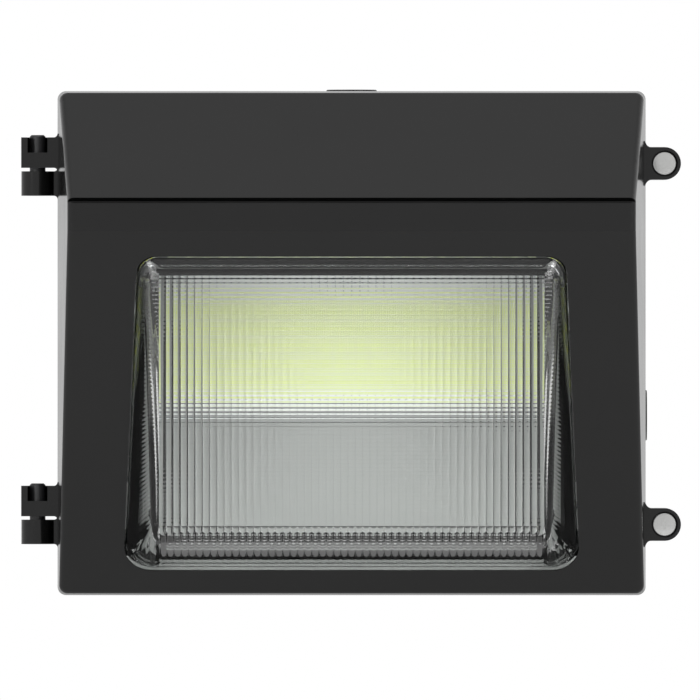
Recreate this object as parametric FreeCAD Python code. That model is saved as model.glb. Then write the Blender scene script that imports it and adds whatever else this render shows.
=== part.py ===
import FreeCAD, Part
import math
import os

# Wall pack light. X runs to the right as seen from the front, Z runs up, and
# the light looks along -Y. The wall plane is Y = 0, and the origin is the
# middle of the back face. A "depth" is a distance in front of the wall.

# ---------------------------------------------------------------- body sizes
body_width = 274.2
body_height = 235.0
body_corner = 4.0
housing_depth = 80.0
cover_depth = 107.0
wall = 3.2
back_wall = 3.6
back_edge = 2.5
land_width = 10.0
land_depth = 6.0
cavity_corner = 2.5

# ------------------------------------------------------------- front cover
draft = 3.0
rim_depth = 17.5
nose_top = 65.2
nose_height = 13.5
crease_height = 2.1
crease_depth = 2.2
crease_land = 0.3
crease_chamfer = 0.4
side_rounding = 3.0

# ------------------------------------------------- refractor and its opening
opening_foot = 12.0
opening_head = 13.1
opening_top_border = 37.6
opening_bottom_border = 30.8
opening_top_corner = 9.5
opening_bottom_corner = 12.5
glass_gap = 0.5
glass_wall = 4.0
glass_top_setback = 5.3
glass_top_rise = 5.2
glass_top_taper = 5.2
glass_bottom_setback = 40.8
glass_bottom_rise = 47.2
glass_bottom_taper = 13.8
glass_front_corner = 5.0
glass_inner_corner = 2.0
flange_width = 7.0
flange_thickness = 4.5
lens_gasket_thickness = 1.5
lens_gasket_width = 6.0

# --------------------------------------------------------- lens retention
clip_inset = 18.0
clip_rows = 3
clip_width = 12.0
clip_thickness = 1.2
clip_overlap = 4.5
clip_boss_radius = 4.2
clip_boss_gap = 1.0
clip_screw_radius = 1.5
clip_screw_head_radius = 3.0
clip_screw_head_height = 2.2
clip_screw_depth = 4.5
clip_boss_sink = 0.5

# ------------------------------------------------------------ cover gasket
gasket_inset = 3.5
gasket_width = 4.0
gasket_depth = 3.0

# ---------------------------------------------------------------- hinges
hinge_top_inset = 21.6
hinge_bottom_inset = 51.0
hinge_arm_height = 14.2
hinge_arm_window = 7.1
hinge_gap = 1.6
barrel_height = 11.4
barrel_radius = 7.6
pin_radius = 3.68
pin_stand = 1.1
pin_chamfer = 0.8
pin_shank_radius = 3.0
pin_running = 0.05
window_radius = 4.65
hinge_wall_gap = 1.7
hinge_root = 1.7
hinge_web_gap = 0.3
ring_recess_radius = 5.4
ring_recess_depth = 2.6
ring_radius = 4.7
ring_thickness = 0.8
ring_groove = 0.4
ring_gap = 0.8
pin_tail = 0.8

# ------------------------------------------------- cover screws and their ears
ear_top_inset = 33.8
ear_bottom_inset = 33.0
ear_radius = 7.6
ear_reach = 8.7
ear_root = 2.8
cover_ear_length = 17.0
housing_ear_length = 14.0
screw_radius = 2.5
screw_thread_gap = 0.25
screw_engagement = 8.5
screw_head_radius = 4.95
screw_head_height = 2.6
screw_head_crown = 0.25
screw_recess_radius = 5.4
screw_recess_depth = 4.4
screw_recess_chamfer = 0.7
screw_cross_length = 4.6
screw_cross_width = 1.0
screw_cross_depth = 1.3
washer_radius = 5.2
washer_thickness = 0.9
retainer_radius = 4.2
retainer_thickness = 1.2
retainer_gap = 0.3
retainer_bore_radius = 4.6
screw_travel = 9.0

# ------------------------------------------------------------ conduit entries
entry_radius = 10.67
entry_boss_radius = 14.5
entry_boss_length = 10.5
entry_setback = 40.0
side_entry_height = -33.7
plug_running = 0.07
plug_flange_radius = 11.8
plug_flange_thickness = 0.95
plug_length = 10.5
plug_slot_length = 15.0
plug_slot_width = 2.4
plug_slot_depth = 2.6
plug_cup_radius = 8.2
plug_cup_depth = 7.0
seal_section = 0.5
seal_clearance = 0.05

# -------------------------------------------------------------- wall fixings
fixing_spacing_x = 190.0
fixing_spacing_z = 180.0
fixing_radius = 3.25
box_hole_spacing = 88.9
box_hole_radius = 2.5

# ------------------------------------------------------------------- LED tray
tray_side_border = 10.0
tray_top_border = 1.0
tray_side_step = 4.5
tray_bottom_gap = 9.3
tray_sheet = 1.6
tray_lip = 8.0
tray_height = 15.6
tray_foot_width = 12.0
tray_foot_length = 22.0
tray_foot_top_inset = 15.6
tray_foot_bottom_inset = 30.0
post_setback = 8.0
post_radius = 5.0
tray_screw_radius = 2.0
tray_screw_head_radius = 3.6
tray_screw_head_height = 2.4
tray_screw_depth = 9.0

# ------------------------------------------------------------------ LED board
board_side_border = 6.2
board_top_border = 13.3
board_bottom_border = 11.4
board_thickness = 1.6
pad_thickness = 1.0
led_columns = 20
led_rows = 6
led_pitch_x = 8.4
led_pitch_z = 8.2
led_size = 4.6
led_height = 0.8
led_middle = -1.5
board_screw_radius = 1.5
board_screw_head_radius = 2.8
board_screw_head_height = 1.8
board_screw_inset_x = 4.5
board_screw_inset_z = 4.0
board_screw_columns = 3
board_screw_stand = 1.5
connector_inset_x = 14.0
connector_inset_z = 4.4
connector_length = 12.0
connector_width = 6.4
connector_thickness = 3.2

# --------------------------------------------------------------------- driver
driver_half_length = 75.0
driver_bottom_gap = 22.3
driver_width = 44.0
driver_height = 30.0
driver_wall = 1.5
driver_lid = 1.5
driver_ear_length = 11.0
driver_ear_thickness = 2.0
driver_boss_radius = 5.0
driver_boss_length = 6.0
driver_screw_radius = 2.0
driver_screw_head_radius = 3.6
driver_screw_head_height = 2.4
driver_screw_depth = 5.0
circuit_thickness = 1.6
circuit_gap = 4.0
circuit_inset = 1.0
lead_setback = 13.6
transformer_x = 1.0
transformer_size = 22.0
transformer_height = 15.0
choke_x = -36.0
choke_radius = 8.0
choke_height = 9.0
capacitor_x = 40.0
capacitor_radius = 6.0
capacitor_height = 16.0
bridge_x = -58.0
bridge_size = 12.0
bridge_height = 5.0

# ---------------------------------------------------------------------- leads
lead_radius = 1.1
lead_spacing = 4.6
lead_run_out = 20.0
lead_fit = 0.06
bend_share = 0.45
grommet_radius = 7.5
grommet_neck = 6.2
grommet_rear_flange = 1.4
nut_radius = 4.2
nut_tip_radius = 2.6
nut_length = 16.0
nut_spacing = 11.0
nut_inset = 13.0
nut_gap = 14.0
ground_screw_x = -60.0
ground_screw_z = 22.0
ground_screw_radius = 2.0
ground_screw_head_radius = 4.2
ground_screw_head_height = 2.4
ground_screw_depth = 4.5
ground_boss_radius = 5.0
ground_boss_length = 6.0
ground_tag_radius = 4.0
ground_tag_thickness = 0.8
ground_crimp_length = 3.0

# ------------------------------------------------- shapes common to all screws
head_rounding = 0.45
recess_length = 1.1
recess_width = 0.24
recess_share = 0.5
hole_end_gap = 0.5

# ------------------------------------------------------ values that follow
half_width = body_width / 2
half_height = body_height / 2
total_depth = housing_depth + cover_depth
rim_front = housing_depth + rim_depth
draft_ratio = math.tan(math.radians(draft))
rim_high = half_height - rim_depth * draft_ratio
nose_bottom = nose_top - nose_height
roof_run = total_depth - rim_front
roof_angle = math.atan2(rim_high - nose_top - crease_height, roof_run)
slope_angle = math.atan2(roof_run, nose_bottom + rim_high)
hinge_x = -(half_width + hinge_wall_gap + barrel_radius)
hinge_end = hinge_x - barrel_radius
ear_x = half_width + ear_reach
wall_middle_inset = wall * 0.8
slope_length = (nose_bottom + rim_high) / math.cos(slope_angle)
opening_length = slope_length - opening_foot - opening_head
opening_top_half = half_width - opening_top_border
opening_bottom_half = half_width - opening_bottom_border
entry_depth = housing_depth - entry_setback
post_depth = housing_depth - post_setback
tray_bottom = wall + tray_bottom_gap - half_height
tray_front = post_depth + tray_height
pad_front = tray_front + pad_thickness
board_front = pad_front + board_thickness
led_reach_x = led_pitch_x * (led_columns - 1) / 2
led_reach_z = led_pitch_z * (led_rows - 1) / 2
board_half_width = led_reach_x + board_side_border
board_top = led_middle + led_reach_z + board_top_border
board_bottom = led_middle - led_reach_z - board_bottom_border
driver_reach = driver_half_length + driver_ear_length
tray_half_width = max(board_half_width, driver_reach) + tray_side_border
tray_top = board_top + tray_top_border
connector_x = board_half_width - connector_inset_x
connector_height = board_bottom + connector_inset_z
driver_bottom = wall + driver_bottom_gap - half_height
lead_depth = back_wall + driver_height - lead_setback
nut_end_x = nut_inset - driver_half_length
nut_height = driver_bottom + driver_width + nut_gap
glass_bed = wall + lens_gasket_thickness
flange_back = glass_bed + flange_thickness
overshoot = 20.0

FORWARD = FreeCAD.Vector(0, -1, 0)
RIGHT = FreeCAD.Vector(1, 0, 0)
UP = FreeCAD.Vector(0, 0, 1)


# ------------------------------------------------------------ drawing helpers
def at(x, depth, z):
    """Point at a place across, in front of the wall and up."""
    return FreeCAD.Vector(x, -depth, z)


def block(x_span, depth_span, z_span):
    """Rectangular block between three pairs of limits."""
    low = at(min(x_span), max(depth_span), min(z_span))
    sizes = [max(span) - min(span) for span in (x_span, depth_span, z_span)]
    return Part.makeBox(sizes[0], sizes[1], sizes[2], low)


def rod(start, direction, radius, length):
    """Round bar from a point along a direction."""
    return Part.makeCylinder(radius, length, start, direction)


def rounded_wire(corners, radii):
    """Closed wire through coplanar corners, each rounded by its own radius."""
    firsts = []
    middles = []
    lasts = []
    count = len(corners)
    for index, corner in enumerate(corners):
        before = (corners[index - 1] - corner).normalize()
        after = (corners[(index + 1) % count] - corner).normalize()
        half_turn = before.getAngle(after) / 2
        bisector = (before + after).normalize()
        radius = radii[index]
        centre = corner + bisector * (radius / math.sin(half_turn))
        firsts.append(corner + before * (radius / math.tan(half_turn)))
        middles.append(centre - bisector * radius)
        lasts.append(corner + after * (radius / math.tan(half_turn)))
    edges = []
    for index in range(count):
        edges.append(Part.LineSegment(lasts[index - 1], firsts[index]).toShape())
        edges.append(Part.Arc(firsts[index], middles[index], lasts[index]).toShape())
    return Part.Wire(edges)


def polygon_face(points):
    """Flat face through a closed list of points."""
    return Part.Face(Part.makePolygon(points + [points[0]]))


def frame_wire(inset, radius, depth, taper=0.0):
    """Rounded rectangle of the body's outline, inset, at one depth."""
    half_x = half_width - inset - taper
    half_z = half_height - inset - taper
    corners = [at(-half_x, depth, -half_z), at(half_x, depth, -half_z),
               at(half_x, depth, half_z), at(-half_x, depth, half_z)]
    return rounded_wire(corners, [radius] * 4)


def frame_prism(inset, radius, depth_start, depth_end):
    """Straight prism of the body's outline between two depths."""
    face = Part.Face(frame_wire(inset, radius, depth_start))
    return face.extrude(FORWARD * (depth_end - depth_start))


def on_slope(across, along, outward):
    """Point in the frame of the cover's sloping face."""
    along_dir = FreeCAD.Vector(0, -math.sin(slope_angle), math.cos(slope_angle))
    out_dir = FreeCAD.Vector(0, -math.cos(slope_angle), -math.sin(slope_angle))
    foot = at(0, rim_front, -rim_high)
    return foot + RIGHT * across + along_dir * along + out_dir * outward


SLOPE_OUT = on_slope(0, 0, 1) - on_slope(0, 0, 0)


def union(shapes):
    """One solid from pieces that overlap."""
    joined = shapes[0].fuse(shapes[1:]) if len(shapes) > 1 else shapes[0]
    return joined.removeSplitter()


def lead_path(points):
    """Wire of straight runs joined by tangent arcs as large as they allow."""
    edges = []
    place = points[0]
    for index in range(1, len(points) - 1):
        corner = points[index]
        before = points[index - 1] - corner
        after = points[index + 1] - corner
        reach = bend_share * min(before.Length, after.Length)
        half_turn = before.getAngle(after) / 2
        radius = reach * math.tan(half_turn)
        bisector = (before.normalize() + after.normalize()).normalize()
        centre = corner + bisector * (radius / math.sin(half_turn))
        first = corner + before * reach
        last = corner + after * reach
        edges.append(Part.LineSegment(place, first).toShape())
        edges.append(Part.Arc(first, centre - bisector * radius, last).toShape())
        place = last
    edges.append(Part.LineSegment(place, points[-1]).toShape())
    return Part.Wire(edges)


def lead(points):
    """Insulated lead along a route of points."""
    path = lead_path(points)
    ring = Part.Wire(Part.makeCircle(lead_radius, points[0], points[1] - points[0]))
    return path.makePipeShell([ring], True, False)


def pan_screw(seat, direction, shank_radius, depth, head_radius, head_height):
    """Pan head screw. The seat is under its head, the head rises along direction."""
    shank = rod(seat - direction * depth, direction, shank_radius, depth)
    head = rod(seat, direction, head_radius, head_height)
    rim = [edge for edge in head.Edges
           if abs((edge.CenterOfMass - seat).dot(direction) - head_height) < 1e-6
           and edge.Closed]
    head = head.makeFillet(head_height * head_rounding, rim)
    depth_span = (0, head_height * recess_share)
    long = (-head_radius * recess_length / 2, head_radius * recess_length / 2)
    narrow = (-head_radius * recess_width / 2, head_radius * recess_width / 2)
    cross = union([block(long, depth_span, narrow), block(narrow, depth_span, long)])
    cross.Placement = FreeCAD.Placement(
        seat + direction * (head_height * (1 - recess_share)),
        FreeCAD.Rotation(FORWARD, direction))
    return union([shank, head]).cut(cross)


# ------------------------------------------------------------- shared outlines
def ear_outline(x_end, z_middle, radius, x_root, root_radius, x_wall):
    """Face in the XZ plane of a lug with a round end and flared root."""
    side = 1 if x_end > x_wall else -1
    wide = radius + root_radius
    flare = side * root_radius

    def spot(x, z):
        return at(x, 0, z_middle + z)

    def quarter(sign):
        centre = spot(x_wall + flare, sign * wide)
        middle = centre + FreeCAD.Vector(-flare, 0, -sign * root_radius) * math.sqrt(0.5)
        return middle

    tip = spot(x_end + side * radius, 0)
    edges = [
        Part.LineSegment(spot(x_root, -wide), spot(x_wall, -wide)),
        Part.Arc(spot(x_wall, -wide), quarter(-1), spot(x_wall + flare, -radius)),
        Part.LineSegment(spot(x_wall + flare, -radius), spot(x_end, -radius)),
        Part.Arc(spot(x_end, -radius), tip, spot(x_end, radius)),
        Part.LineSegment(spot(x_end, radius), spot(x_wall + flare, radius)),
        Part.Arc(spot(x_wall + flare, radius), quarter(1), spot(x_wall, wide)),
        Part.LineSegment(spot(x_wall, wide), spot(x_root, wide)),
        Part.LineSegment(spot(x_root, wide), spot(x_root, -wide)),
    ]
    return Part.Face(Part.Wire([edge.toShape() for edge in edges]))


def ear(z_middle, depth_start, depth_end):
    """Screw ear on the right side, between two depths."""
    wall_x = half_width - (depth_end - housing_depth) * draft_ratio * 0.5
    if depth_end <= housing_depth:
        wall_x = half_width
    face = ear_outline(ear_x, z_middle, ear_radius, half_width - wall_middle_inset,
                       ear_root, wall_x)
    face.translate(FORWARD * depth_start)
    return face.extrude(FORWARD * (depth_end - depth_start))


def root_flares(z_low, z_high, depth_start, depth_end):
    """Concave flares where a hinge lug meets the left side wall."""
    pieces = []
    wall_x = -half_width
    for edge_z, sign in ((z_high, 1), (z_low, -1)):
        corner = at(wall_x, depth_start, edge_z)
        outer = at(wall_x - hinge_root, depth_start, edge_z)
        tall = at(wall_x, depth_start, edge_z + sign * hinge_root)
        centre = at(wall_x - hinge_root, depth_start, edge_z + sign * hinge_root)
        middle = centre + FreeCAD.Vector(hinge_root, 0, -sign * hinge_root) * math.sqrt(0.5)
        inner_low = at(wall_x + wall_middle_inset, depth_start, edge_z)
        inner_high = at(wall_x + wall_middle_inset, depth_start, edge_z + sign * hinge_root)
        edges = [
            Part.Arc(outer, middle, tall),
            Part.LineSegment(tall, inner_high),
            Part.LineSegment(inner_high, inner_low),
            Part.LineSegment(inner_low, corner),
            Part.LineSegment(corner, outer),
        ]
        face = Part.Face(Part.Wire([edge.toShape() for edge in edges]))
        pieces.append(face.extrude(FORWARD * (depth_end - depth_start)))
    return pieces


# ---------------------------------------------------------------- rear housing
def entry_boss(start, inward):
    """Thick round boss that gives the entry thread its length."""
    return rod(start, inward, entry_boss_radius, entry_boss_length)


def barrel(z_low):
    """Hinge barrel on the housing, with the recess for the retaining ring."""
    z_high = z_low + barrel_height
    web = block((hinge_x, -half_width + wall_middle_inset),
                (housing_depth - barrel_radius, housing_depth - hinge_web_gap),
                (z_low, z_high))
    body = rod(at(hinge_x, housing_depth, z_low), UP, barrel_radius, barrel_height)
    flares = root_flares(z_low, z_high, housing_depth - barrel_radius,
                         housing_depth - hinge_web_gap)
    return [web, body] + flares


def barrel_bore(z_low):
    """Running bore for the hinge pin and the recess under the barrel."""
    bore = rod(at(hinge_x, housing_depth, z_low - 1), UP,
               pin_shank_radius + pin_running, barrel_height + 2)
    recess = rod(at(hinge_x, housing_depth, z_low - 1), UP,
                 ring_recess_radius, ring_recess_depth + 1)
    return [bore, recess]


def barrel_lows():
    """Underside heights of the two barrels."""
    drop = hinge_arm_height + hinge_gap + barrel_height
    return [top - drop for top in arm_tops()]


def ear_heights():
    """Heights of the two cover screws."""
    return [half_height - ear_top_inset, ear_bottom_inset - half_height]


def tray_foot_heights():
    """Heights of the tray's lower and upper feet."""
    return [tray_bottom + tray_foot_bottom_inset, tray_top - tray_foot_top_inset]


def post_places():
    """Places of the four posts that carry the tray."""
    x = tray_half_width + tray_foot_width / 2
    return [(side * x, z) for side in (-1, 1) for z in tray_foot_heights()]


def driver_middle():
    """Height of the driver's middle line."""
    return driver_bottom + driver_width / 2


def driver_boss_top():
    """Depth of the faces that carry the driver's ears."""
    return back_wall + driver_boss_length


def driver_screw_xs():
    """Places of the two driver screws."""
    reach = driver_half_length + driver_ear_length / 2
    return [-reach, reach]


def make_rear_housing():
    """Die-cast box that carries everything and stands on the wall."""
    shell = frame_prism(0, body_corner, 0, housing_depth)
    back_edges = [edge for edge in shell.Edges
                  if abs(edge.BoundBox.YMax) < 1e-6 and abs(edge.BoundBox.YMin) < 1e-6]
    shell = shell.makeFillet(back_edge, back_edges)
    cavity = frame_prism(wall, cavity_corner, back_wall, housing_depth - land_depth)
    mouth = frame_prism(land_width, cavity_corner, housing_depth - land_depth - 1,
                        housing_depth + 1)
    shell = shell.cut([cavity, mouth])
    solids = [shell]
    for x, z in post_places():
        solids.append(rod(at(x, back_wall - 1, z), FORWARD, post_radius,
                          post_depth - back_wall + 1))
    for x in driver_screw_xs():
        solids.append(rod(at(x, back_wall - 1, driver_middle()), FORWARD,
                          driver_boss_radius, driver_boss_length + 1))
    solids.append(entry_boss(at(0, back_wall - 1, 0), FORWARD))
    solids.append(entry_boss(at(0, entry_depth, half_height - 1), UP * -1))
    solids.append(entry_boss(at(half_width - 1, entry_depth, side_entry_height), RIGHT * -1))
    solids.append(rod(at(ground_screw_x, back_wall - 1, ground_screw_z), FORWARD,
                      ground_boss_radius, ground_boss_length + 1))
    for z_low in barrel_lows():
        solids.extend(barrel(z_low))
    for z in ear_heights():
        solids.append(ear(z, housing_depth - housing_ear_length, housing_depth))
    body = union(solids)

    cuts = []
    for x, z in post_places():
        cuts.append(rod(at(x, post_depth - tray_screw_depth, z), FORWARD,
                        tray_screw_radius, tray_screw_depth + 1))
    for x in driver_screw_xs():
        cuts.append(rod(at(x, driver_boss_top() - driver_screw_depth, driver_middle()),
                        FORWARD, driver_screw_radius, driver_screw_depth + 1))
    cuts.append(rod(at(0, -1, 0), FORWARD, entry_radius, entry_boss_length + back_wall + 2))
    cuts.append(rod(at(0, entry_depth, half_height + 1), UP * -1, entry_radius,
                    entry_boss_length + 3))
    cuts.append(rod(at(half_width + 1, entry_depth, side_entry_height), RIGHT * -1,
                    entry_radius, entry_boss_length + 3))
    seat_radius = seal_seat_radius()
    seat_depth = 2 * seal_section + seal_clearance
    cuts.append(rod(at(0, entry_depth, half_height + 1), UP * -1, seat_radius, seat_depth + 1))
    cuts.append(rod(at(half_width + 1, entry_depth, side_entry_height), RIGHT * -1,
                    seat_radius, seat_depth + 1))
    top_of_ground = back_wall + ground_boss_length
    cuts.append(rod(at(ground_screw_x, top_of_ground - ground_screw_depth, ground_screw_z),
                    FORWARD, ground_screw_radius, ground_screw_depth + 1))
    for side in (-1, 1):
        for level in (-1, 1):
            cuts.append(rod(at(side * fixing_spacing_x / 2, -1, level * fixing_spacing_z / 2),
                            FORWARD, fixing_radius, back_wall + 2))
        cuts.append(rod(at(side * box_hole_spacing / 2, -1, 0), FORWARD, box_hole_radius,
                        back_wall + 2))
    for z_low in barrel_lows():
        cuts.extend(barrel_bore(z_low))
    for z in ear_heights():
        cuts.append(rod(at(ear_x, housing_depth - housing_ear_length - 1, z), FORWARD,
                        screw_radius + screw_thread_gap, housing_ear_length + 2))
    return body.cut(cuts)


# ----------------------------------------------------------------- front cover
def cover_profile(inset):
    """Side view of the cover as a face: roof, nose and sloping underside."""
    nose = total_depth - inset
    roof_high = rim_high - inset / math.cos(roof_angle)
    slope_front = rim_front - inset / math.cos(slope_angle)

    def roof_height(depth):
        return roof_high - (depth - rim_front) * math.tan(roof_angle)

    def slope_height(depth):
        return (depth - slope_front) / math.tan(slope_angle) - rim_high

    x = -half_width - overshoot
    return polygon_face([
        at(x, housing_depth, slope_height(housing_depth)),
        at(x, housing_depth, roof_height(housing_depth)),
        at(x, nose, roof_height(nose)),
        at(x, nose, slope_height(nose)),
    ])


def cover_form(inset, corner):
    """Solid form of the cover, inset all round."""
    back = frame_wire(inset, corner, housing_depth)
    front = frame_wire(inset, corner, total_depth, cover_depth * draft_ratio)
    drafted = Part.makeLoft([back, front], True, True)
    profile = cover_profile(inset).extrude(RIGHT * (body_width + 2 * overshoot))
    return drafted.common(profile)


def rounded_cover_form():
    """Cover form with its visible edges rounded."""
    form = cover_form(0, body_corner)
    side_edges = [edge for edge in form.Edges
                  if -edge.CenterOfMass.y > rim_front + 1
                  and abs(edge.CenterOfMass.x) > half_width * 0.9]
    return form.makeFillet(side_rounding, side_edges)


def lens_corners(outward, grow):
    """Corners of the lens outline in a plane beside the sloping face."""
    slant = (opening_bottom_half - opening_top_half) / opening_length
    low = opening_foot - grow
    high = opening_foot + opening_length + grow
    low_half = opening_bottom_half + grow * (1 + slant)
    high_half = opening_top_half + grow * (1 - slant)
    return [on_slope(-low_half, low, outward), on_slope(low_half, low, outward),
            on_slope(high_half, high, outward), on_slope(-high_half, high, outward)]


def lens_outline(outward, grow):
    """Rounded lens outline, grown or shrunk from the opening in the cover."""
    bottom = max(opening_bottom_corner + grow, glass_inner_corner)
    top = max(opening_top_corner + grow, glass_inner_corner)
    return rounded_wire(lens_corners(outward, grow), [bottom, bottom, top, top])


def lens_plate(grow, outward_start, outward_end):
    """Plate of the lens outline between two heights over the sloping face."""
    face = Part.Face(lens_outline(outward_start, grow))
    return face.extrude(SLOPE_OUT * (outward_end - outward_start))


def opening_half_at(along):
    """Half width of the opening at a distance up the slope."""
    share = (along - opening_foot) / opening_length
    return opening_bottom_half + (opening_top_half - opening_bottom_half) * share


def clip_spots():
    """Slope places of the clip screws, left and right."""
    spots = []
    step = (opening_length - 2 * clip_inset) / (clip_rows - 1)
    for row in range(clip_rows):
        along = opening_foot + clip_inset + row * step
        across = opening_half_at(along) + flange_width + clip_boss_gap + clip_boss_radius
        spots.append((-across, along))
        spots.append((across, along))
    return spots


def arm(z_high):
    """Hinge arm on the cover: flat front, round back, window over the pin."""
    z_low = z_high - hinge_arm_height
    front = housing_depth + barrel_radius
    root_x = -half_width + wall_middle_inset
    points = [
        at(root_x, housing_depth, z_low),
        at(hinge_x + barrel_radius, housing_depth, z_low),
        at(hinge_end, housing_depth, z_low),
        at(hinge_end, front, z_low),
        at(root_x, front, z_low),
    ]
    back = Part.Arc(points[1], at(hinge_x, housing_depth - barrel_radius, z_low), points[2])
    edges = [
        Part.LineSegment(points[0], points[1]),
        back,
        Part.LineSegment(points[2], points[3]),
        Part.LineSegment(points[3], points[4]),
        Part.LineSegment(points[4], points[0]),
    ]
    face = Part.Face(Part.Wire([edge.toShape() for edge in edges]))
    body = face.extrude(UP * hinge_arm_height)
    return [body] + root_flares(z_low, z_high, housing_depth, front)


def arm_cuts(z_high):
    """Bore for the pin and the window that shows it in the arm's upper half."""
    z_low = z_high - hinge_arm_height
    bore = rod(at(hinge_x, housing_depth, z_low - 1), UP, pin_radius, hinge_arm_height + 2)
    z_window = z_high - hinge_arm_window
    window = block((hinge_x - window_radius, hinge_x + window_radius),
                   (housing_depth, housing_depth + barrel_radius + 1),
                   (z_window, z_high + 1))
    round_back = rod(at(hinge_x, housing_depth, z_window), UP, window_radius,
                     hinge_arm_window + 1)
    return [bore, window, round_back]


def arm_tops():
    """Upper faces of the two hinge arms."""
    return [half_height - hinge_top_inset, hinge_bottom_inset - half_height]


def gasket_ring(depth_start, depth_end):
    """Ring of the cover gasket between two depths."""
    outer = frame_prism(gasket_inset, cavity_corner, depth_start, depth_end)
    inner = frame_prism(gasket_inset + gasket_width, cavity_corner / 2,
                        depth_start - 1, depth_end + 1)
    return outer.cut(inner)


def crease_cut():
    """Narrow recess across the front between the roof and the nose."""
    x = -half_width - overshoot
    roof_back = total_depth - crease_depth
    lean = (crease_height - crease_land) / crease_depth
    points = [
        at(x, total_depth + 1, nose_top + crease_height + lean),
        at(x, roof_back, nose_top + crease_land),
        at(x, roof_back, nose_top),
        at(x, total_depth - crease_chamfer, nose_top),
        at(x, total_depth + 1, nose_top - crease_chamfer - 1),
    ]
    return polygon_face(points).extrude(RIGHT * (body_width + 2 * overshoot))


def make_front_cover():
    """Die-cast door with the refractor's opening, hinge arms and screw ears."""
    form = rounded_cover_form()
    cavity = cover_form(wall, cavity_corner)
    behind = block((-body_width, body_width), (housing_depth - 1, housing_depth + land_depth),
                   (-body_height, body_height))
    cavity = cavity.cut(behind)
    mouth = frame_prism(land_width, cavity_corner, housing_depth - 1,
                        housing_depth + land_depth + 1)
    form = form.cut([cavity, mouth])
    solids = [form]
    for z_high in arm_tops():
        solids.extend(arm(z_high))
    for z in ear_heights():
        solids.append(ear(z, housing_depth, housing_depth + cover_ear_length))
    for across, along in clip_spots():
        solids.append(rod(on_slope(across, along, clip_boss_sink - wall), SLOPE_OUT * -1,
                          clip_boss_radius, flange_back - wall + clip_boss_sink))
    body = union(solids)

    cuts = [crease_cut(), lens_plate(0, -wall - 1, wall + 1)]
    cuts.append(gasket_ring(housing_depth - 1, housing_depth + gasket_depth))
    for z_high in arm_tops():
        cuts.extend(arm_cuts(z_high))
    for across, along in clip_spots():
        cuts.append(rod(on_slope(across, along, -flange_back - 1), SLOPE_OUT,
                        clip_screw_radius, clip_screw_depth + 1))
    ear_front = housing_depth + cover_ear_length
    recess_floor = ear_front - screw_recess_depth
    for z in ear_heights():
        cuts.append(rod(at(ear_x, housing_depth - 1, z), FORWARD,
                        screw_radius + screw_thread_gap, cover_ear_length + 2))
        cuts.append(rod(at(ear_x, recess_floor, z), FORWARD, screw_recess_radius,
                        screw_recess_depth + 1))
        cuts.append(Part.makeCone(screw_recess_radius,
                                  screw_recess_radius + screw_recess_chamfer + 0.1,
                                  screw_recess_chamfer + 0.1,
                                  at(ear_x, ear_front - screw_recess_chamfer, z), FORWARD))
        cuts.append(rod(at(ear_x, housing_depth - 1, z), FORWARD, retainer_bore_radius,
                        retainer_bore_depth() + 1))
    return body.cut(cuts)


def retainer_bore_depth():
    """Depth of the bore behind the cover ear in which the retainer travels."""
    return retainer_gap + retainer_thickness + screw_travel + retainer_gap


# ------------------------------------------------------------------- refractor
def glass_front_wire(inset):
    """Front outline of the refractor, inset and moved back by a thickness."""
    high = on_slope(0, opening_foot + opening_length - glass_top_setback, glass_top_rise)
    low = on_slope(0, opening_foot + glass_bottom_setback, glass_bottom_rise)
    lean = (low.y - high.y) / (high.z - low.z)
    top_half = opening_top_half - glass_top_taper - inset
    bottom_half = opening_bottom_half - glass_bottom_taper - inset
    top = high.z - inset
    bottom = low.z + inset

    def front_depth(z):
        return (z - low.z) * lean - low.y - inset

    corners = [at(-bottom_half, front_depth(bottom), bottom),
               at(bottom_half, front_depth(bottom), bottom),
               at(top_half, front_depth(top), top),
               at(-top_half, front_depth(top), top)]
    radius = max(glass_front_corner - inset, glass_inner_corner)
    return rounded_wire(corners, [radius] * 4)


def glass_form(inset):
    """Solid form of the refractor's bowl in front of its flange."""
    grow = -glass_gap - inset
    foot = lens_plate(grow, -flange_back, 0)
    bowl = Part.makeLoft([lens_outline(0, grow), glass_front_wire(inset)], True, True)
    return foot.fuse(bowl)


def make_glass_refractor():
    """Pressed glass bowl with a flange behind the cover's face."""
    flange = lens_plate(flange_width - glass_gap, -flange_back, -glass_bed)
    outer = glass_form(0).fuse(flange)
    inner = glass_form(glass_wall)
    relief = lens_plate(-glass_gap - glass_wall, -flange_back - 1, -flange_back + 1)
    return outer.cut([inner, relief]).removeSplitter()


def make_lens_gasket():
    """Flat ring between the glass flange and the cover."""
    ring = lens_plate(lens_gasket_width, -glass_bed, -wall)
    return ring.cut(lens_plate(0, -glass_bed - 1, -wall + 1))


def make_lens_clips():
    """Spring steel plates that press the flange against the gasket."""
    clips = []
    for across, along in clip_spots():
        side = 1 if across > 0 else -1
        outer = across + side * clip_boss_radius
        inner = across - side * (clip_boss_radius + clip_boss_gap + clip_overlap)
        corners = [on_slope(x, along + z, -flange_back)
                   for x, z in ((inner, -clip_width / 2), (outer, -clip_width / 2),
                                (outer, clip_width / 2), (inner, clip_width / 2))]
        plate = polygon_face(corners).extrude(SLOPE_OUT * -clip_thickness)
        hole = rod(on_slope(across, along, -flange_back + 1), SLOPE_OUT * -1,
                   clip_screw_radius, clip_thickness + 2)
        clips.append(plate.cut(hole))
    return Part.makeCompound(clips)


def make_lens_clip_screws():
    """Screws that hold the clips."""
    screws = [pan_screw(on_slope(across, along, -flange_back - clip_thickness),
                        SLOPE_OUT * -1, clip_screw_radius,
                        clip_screw_depth + clip_thickness - hole_end_gap,
                        clip_screw_head_radius, clip_screw_head_height)
              for across, along in clip_spots()]
    return Part.makeCompound(screws)


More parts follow.
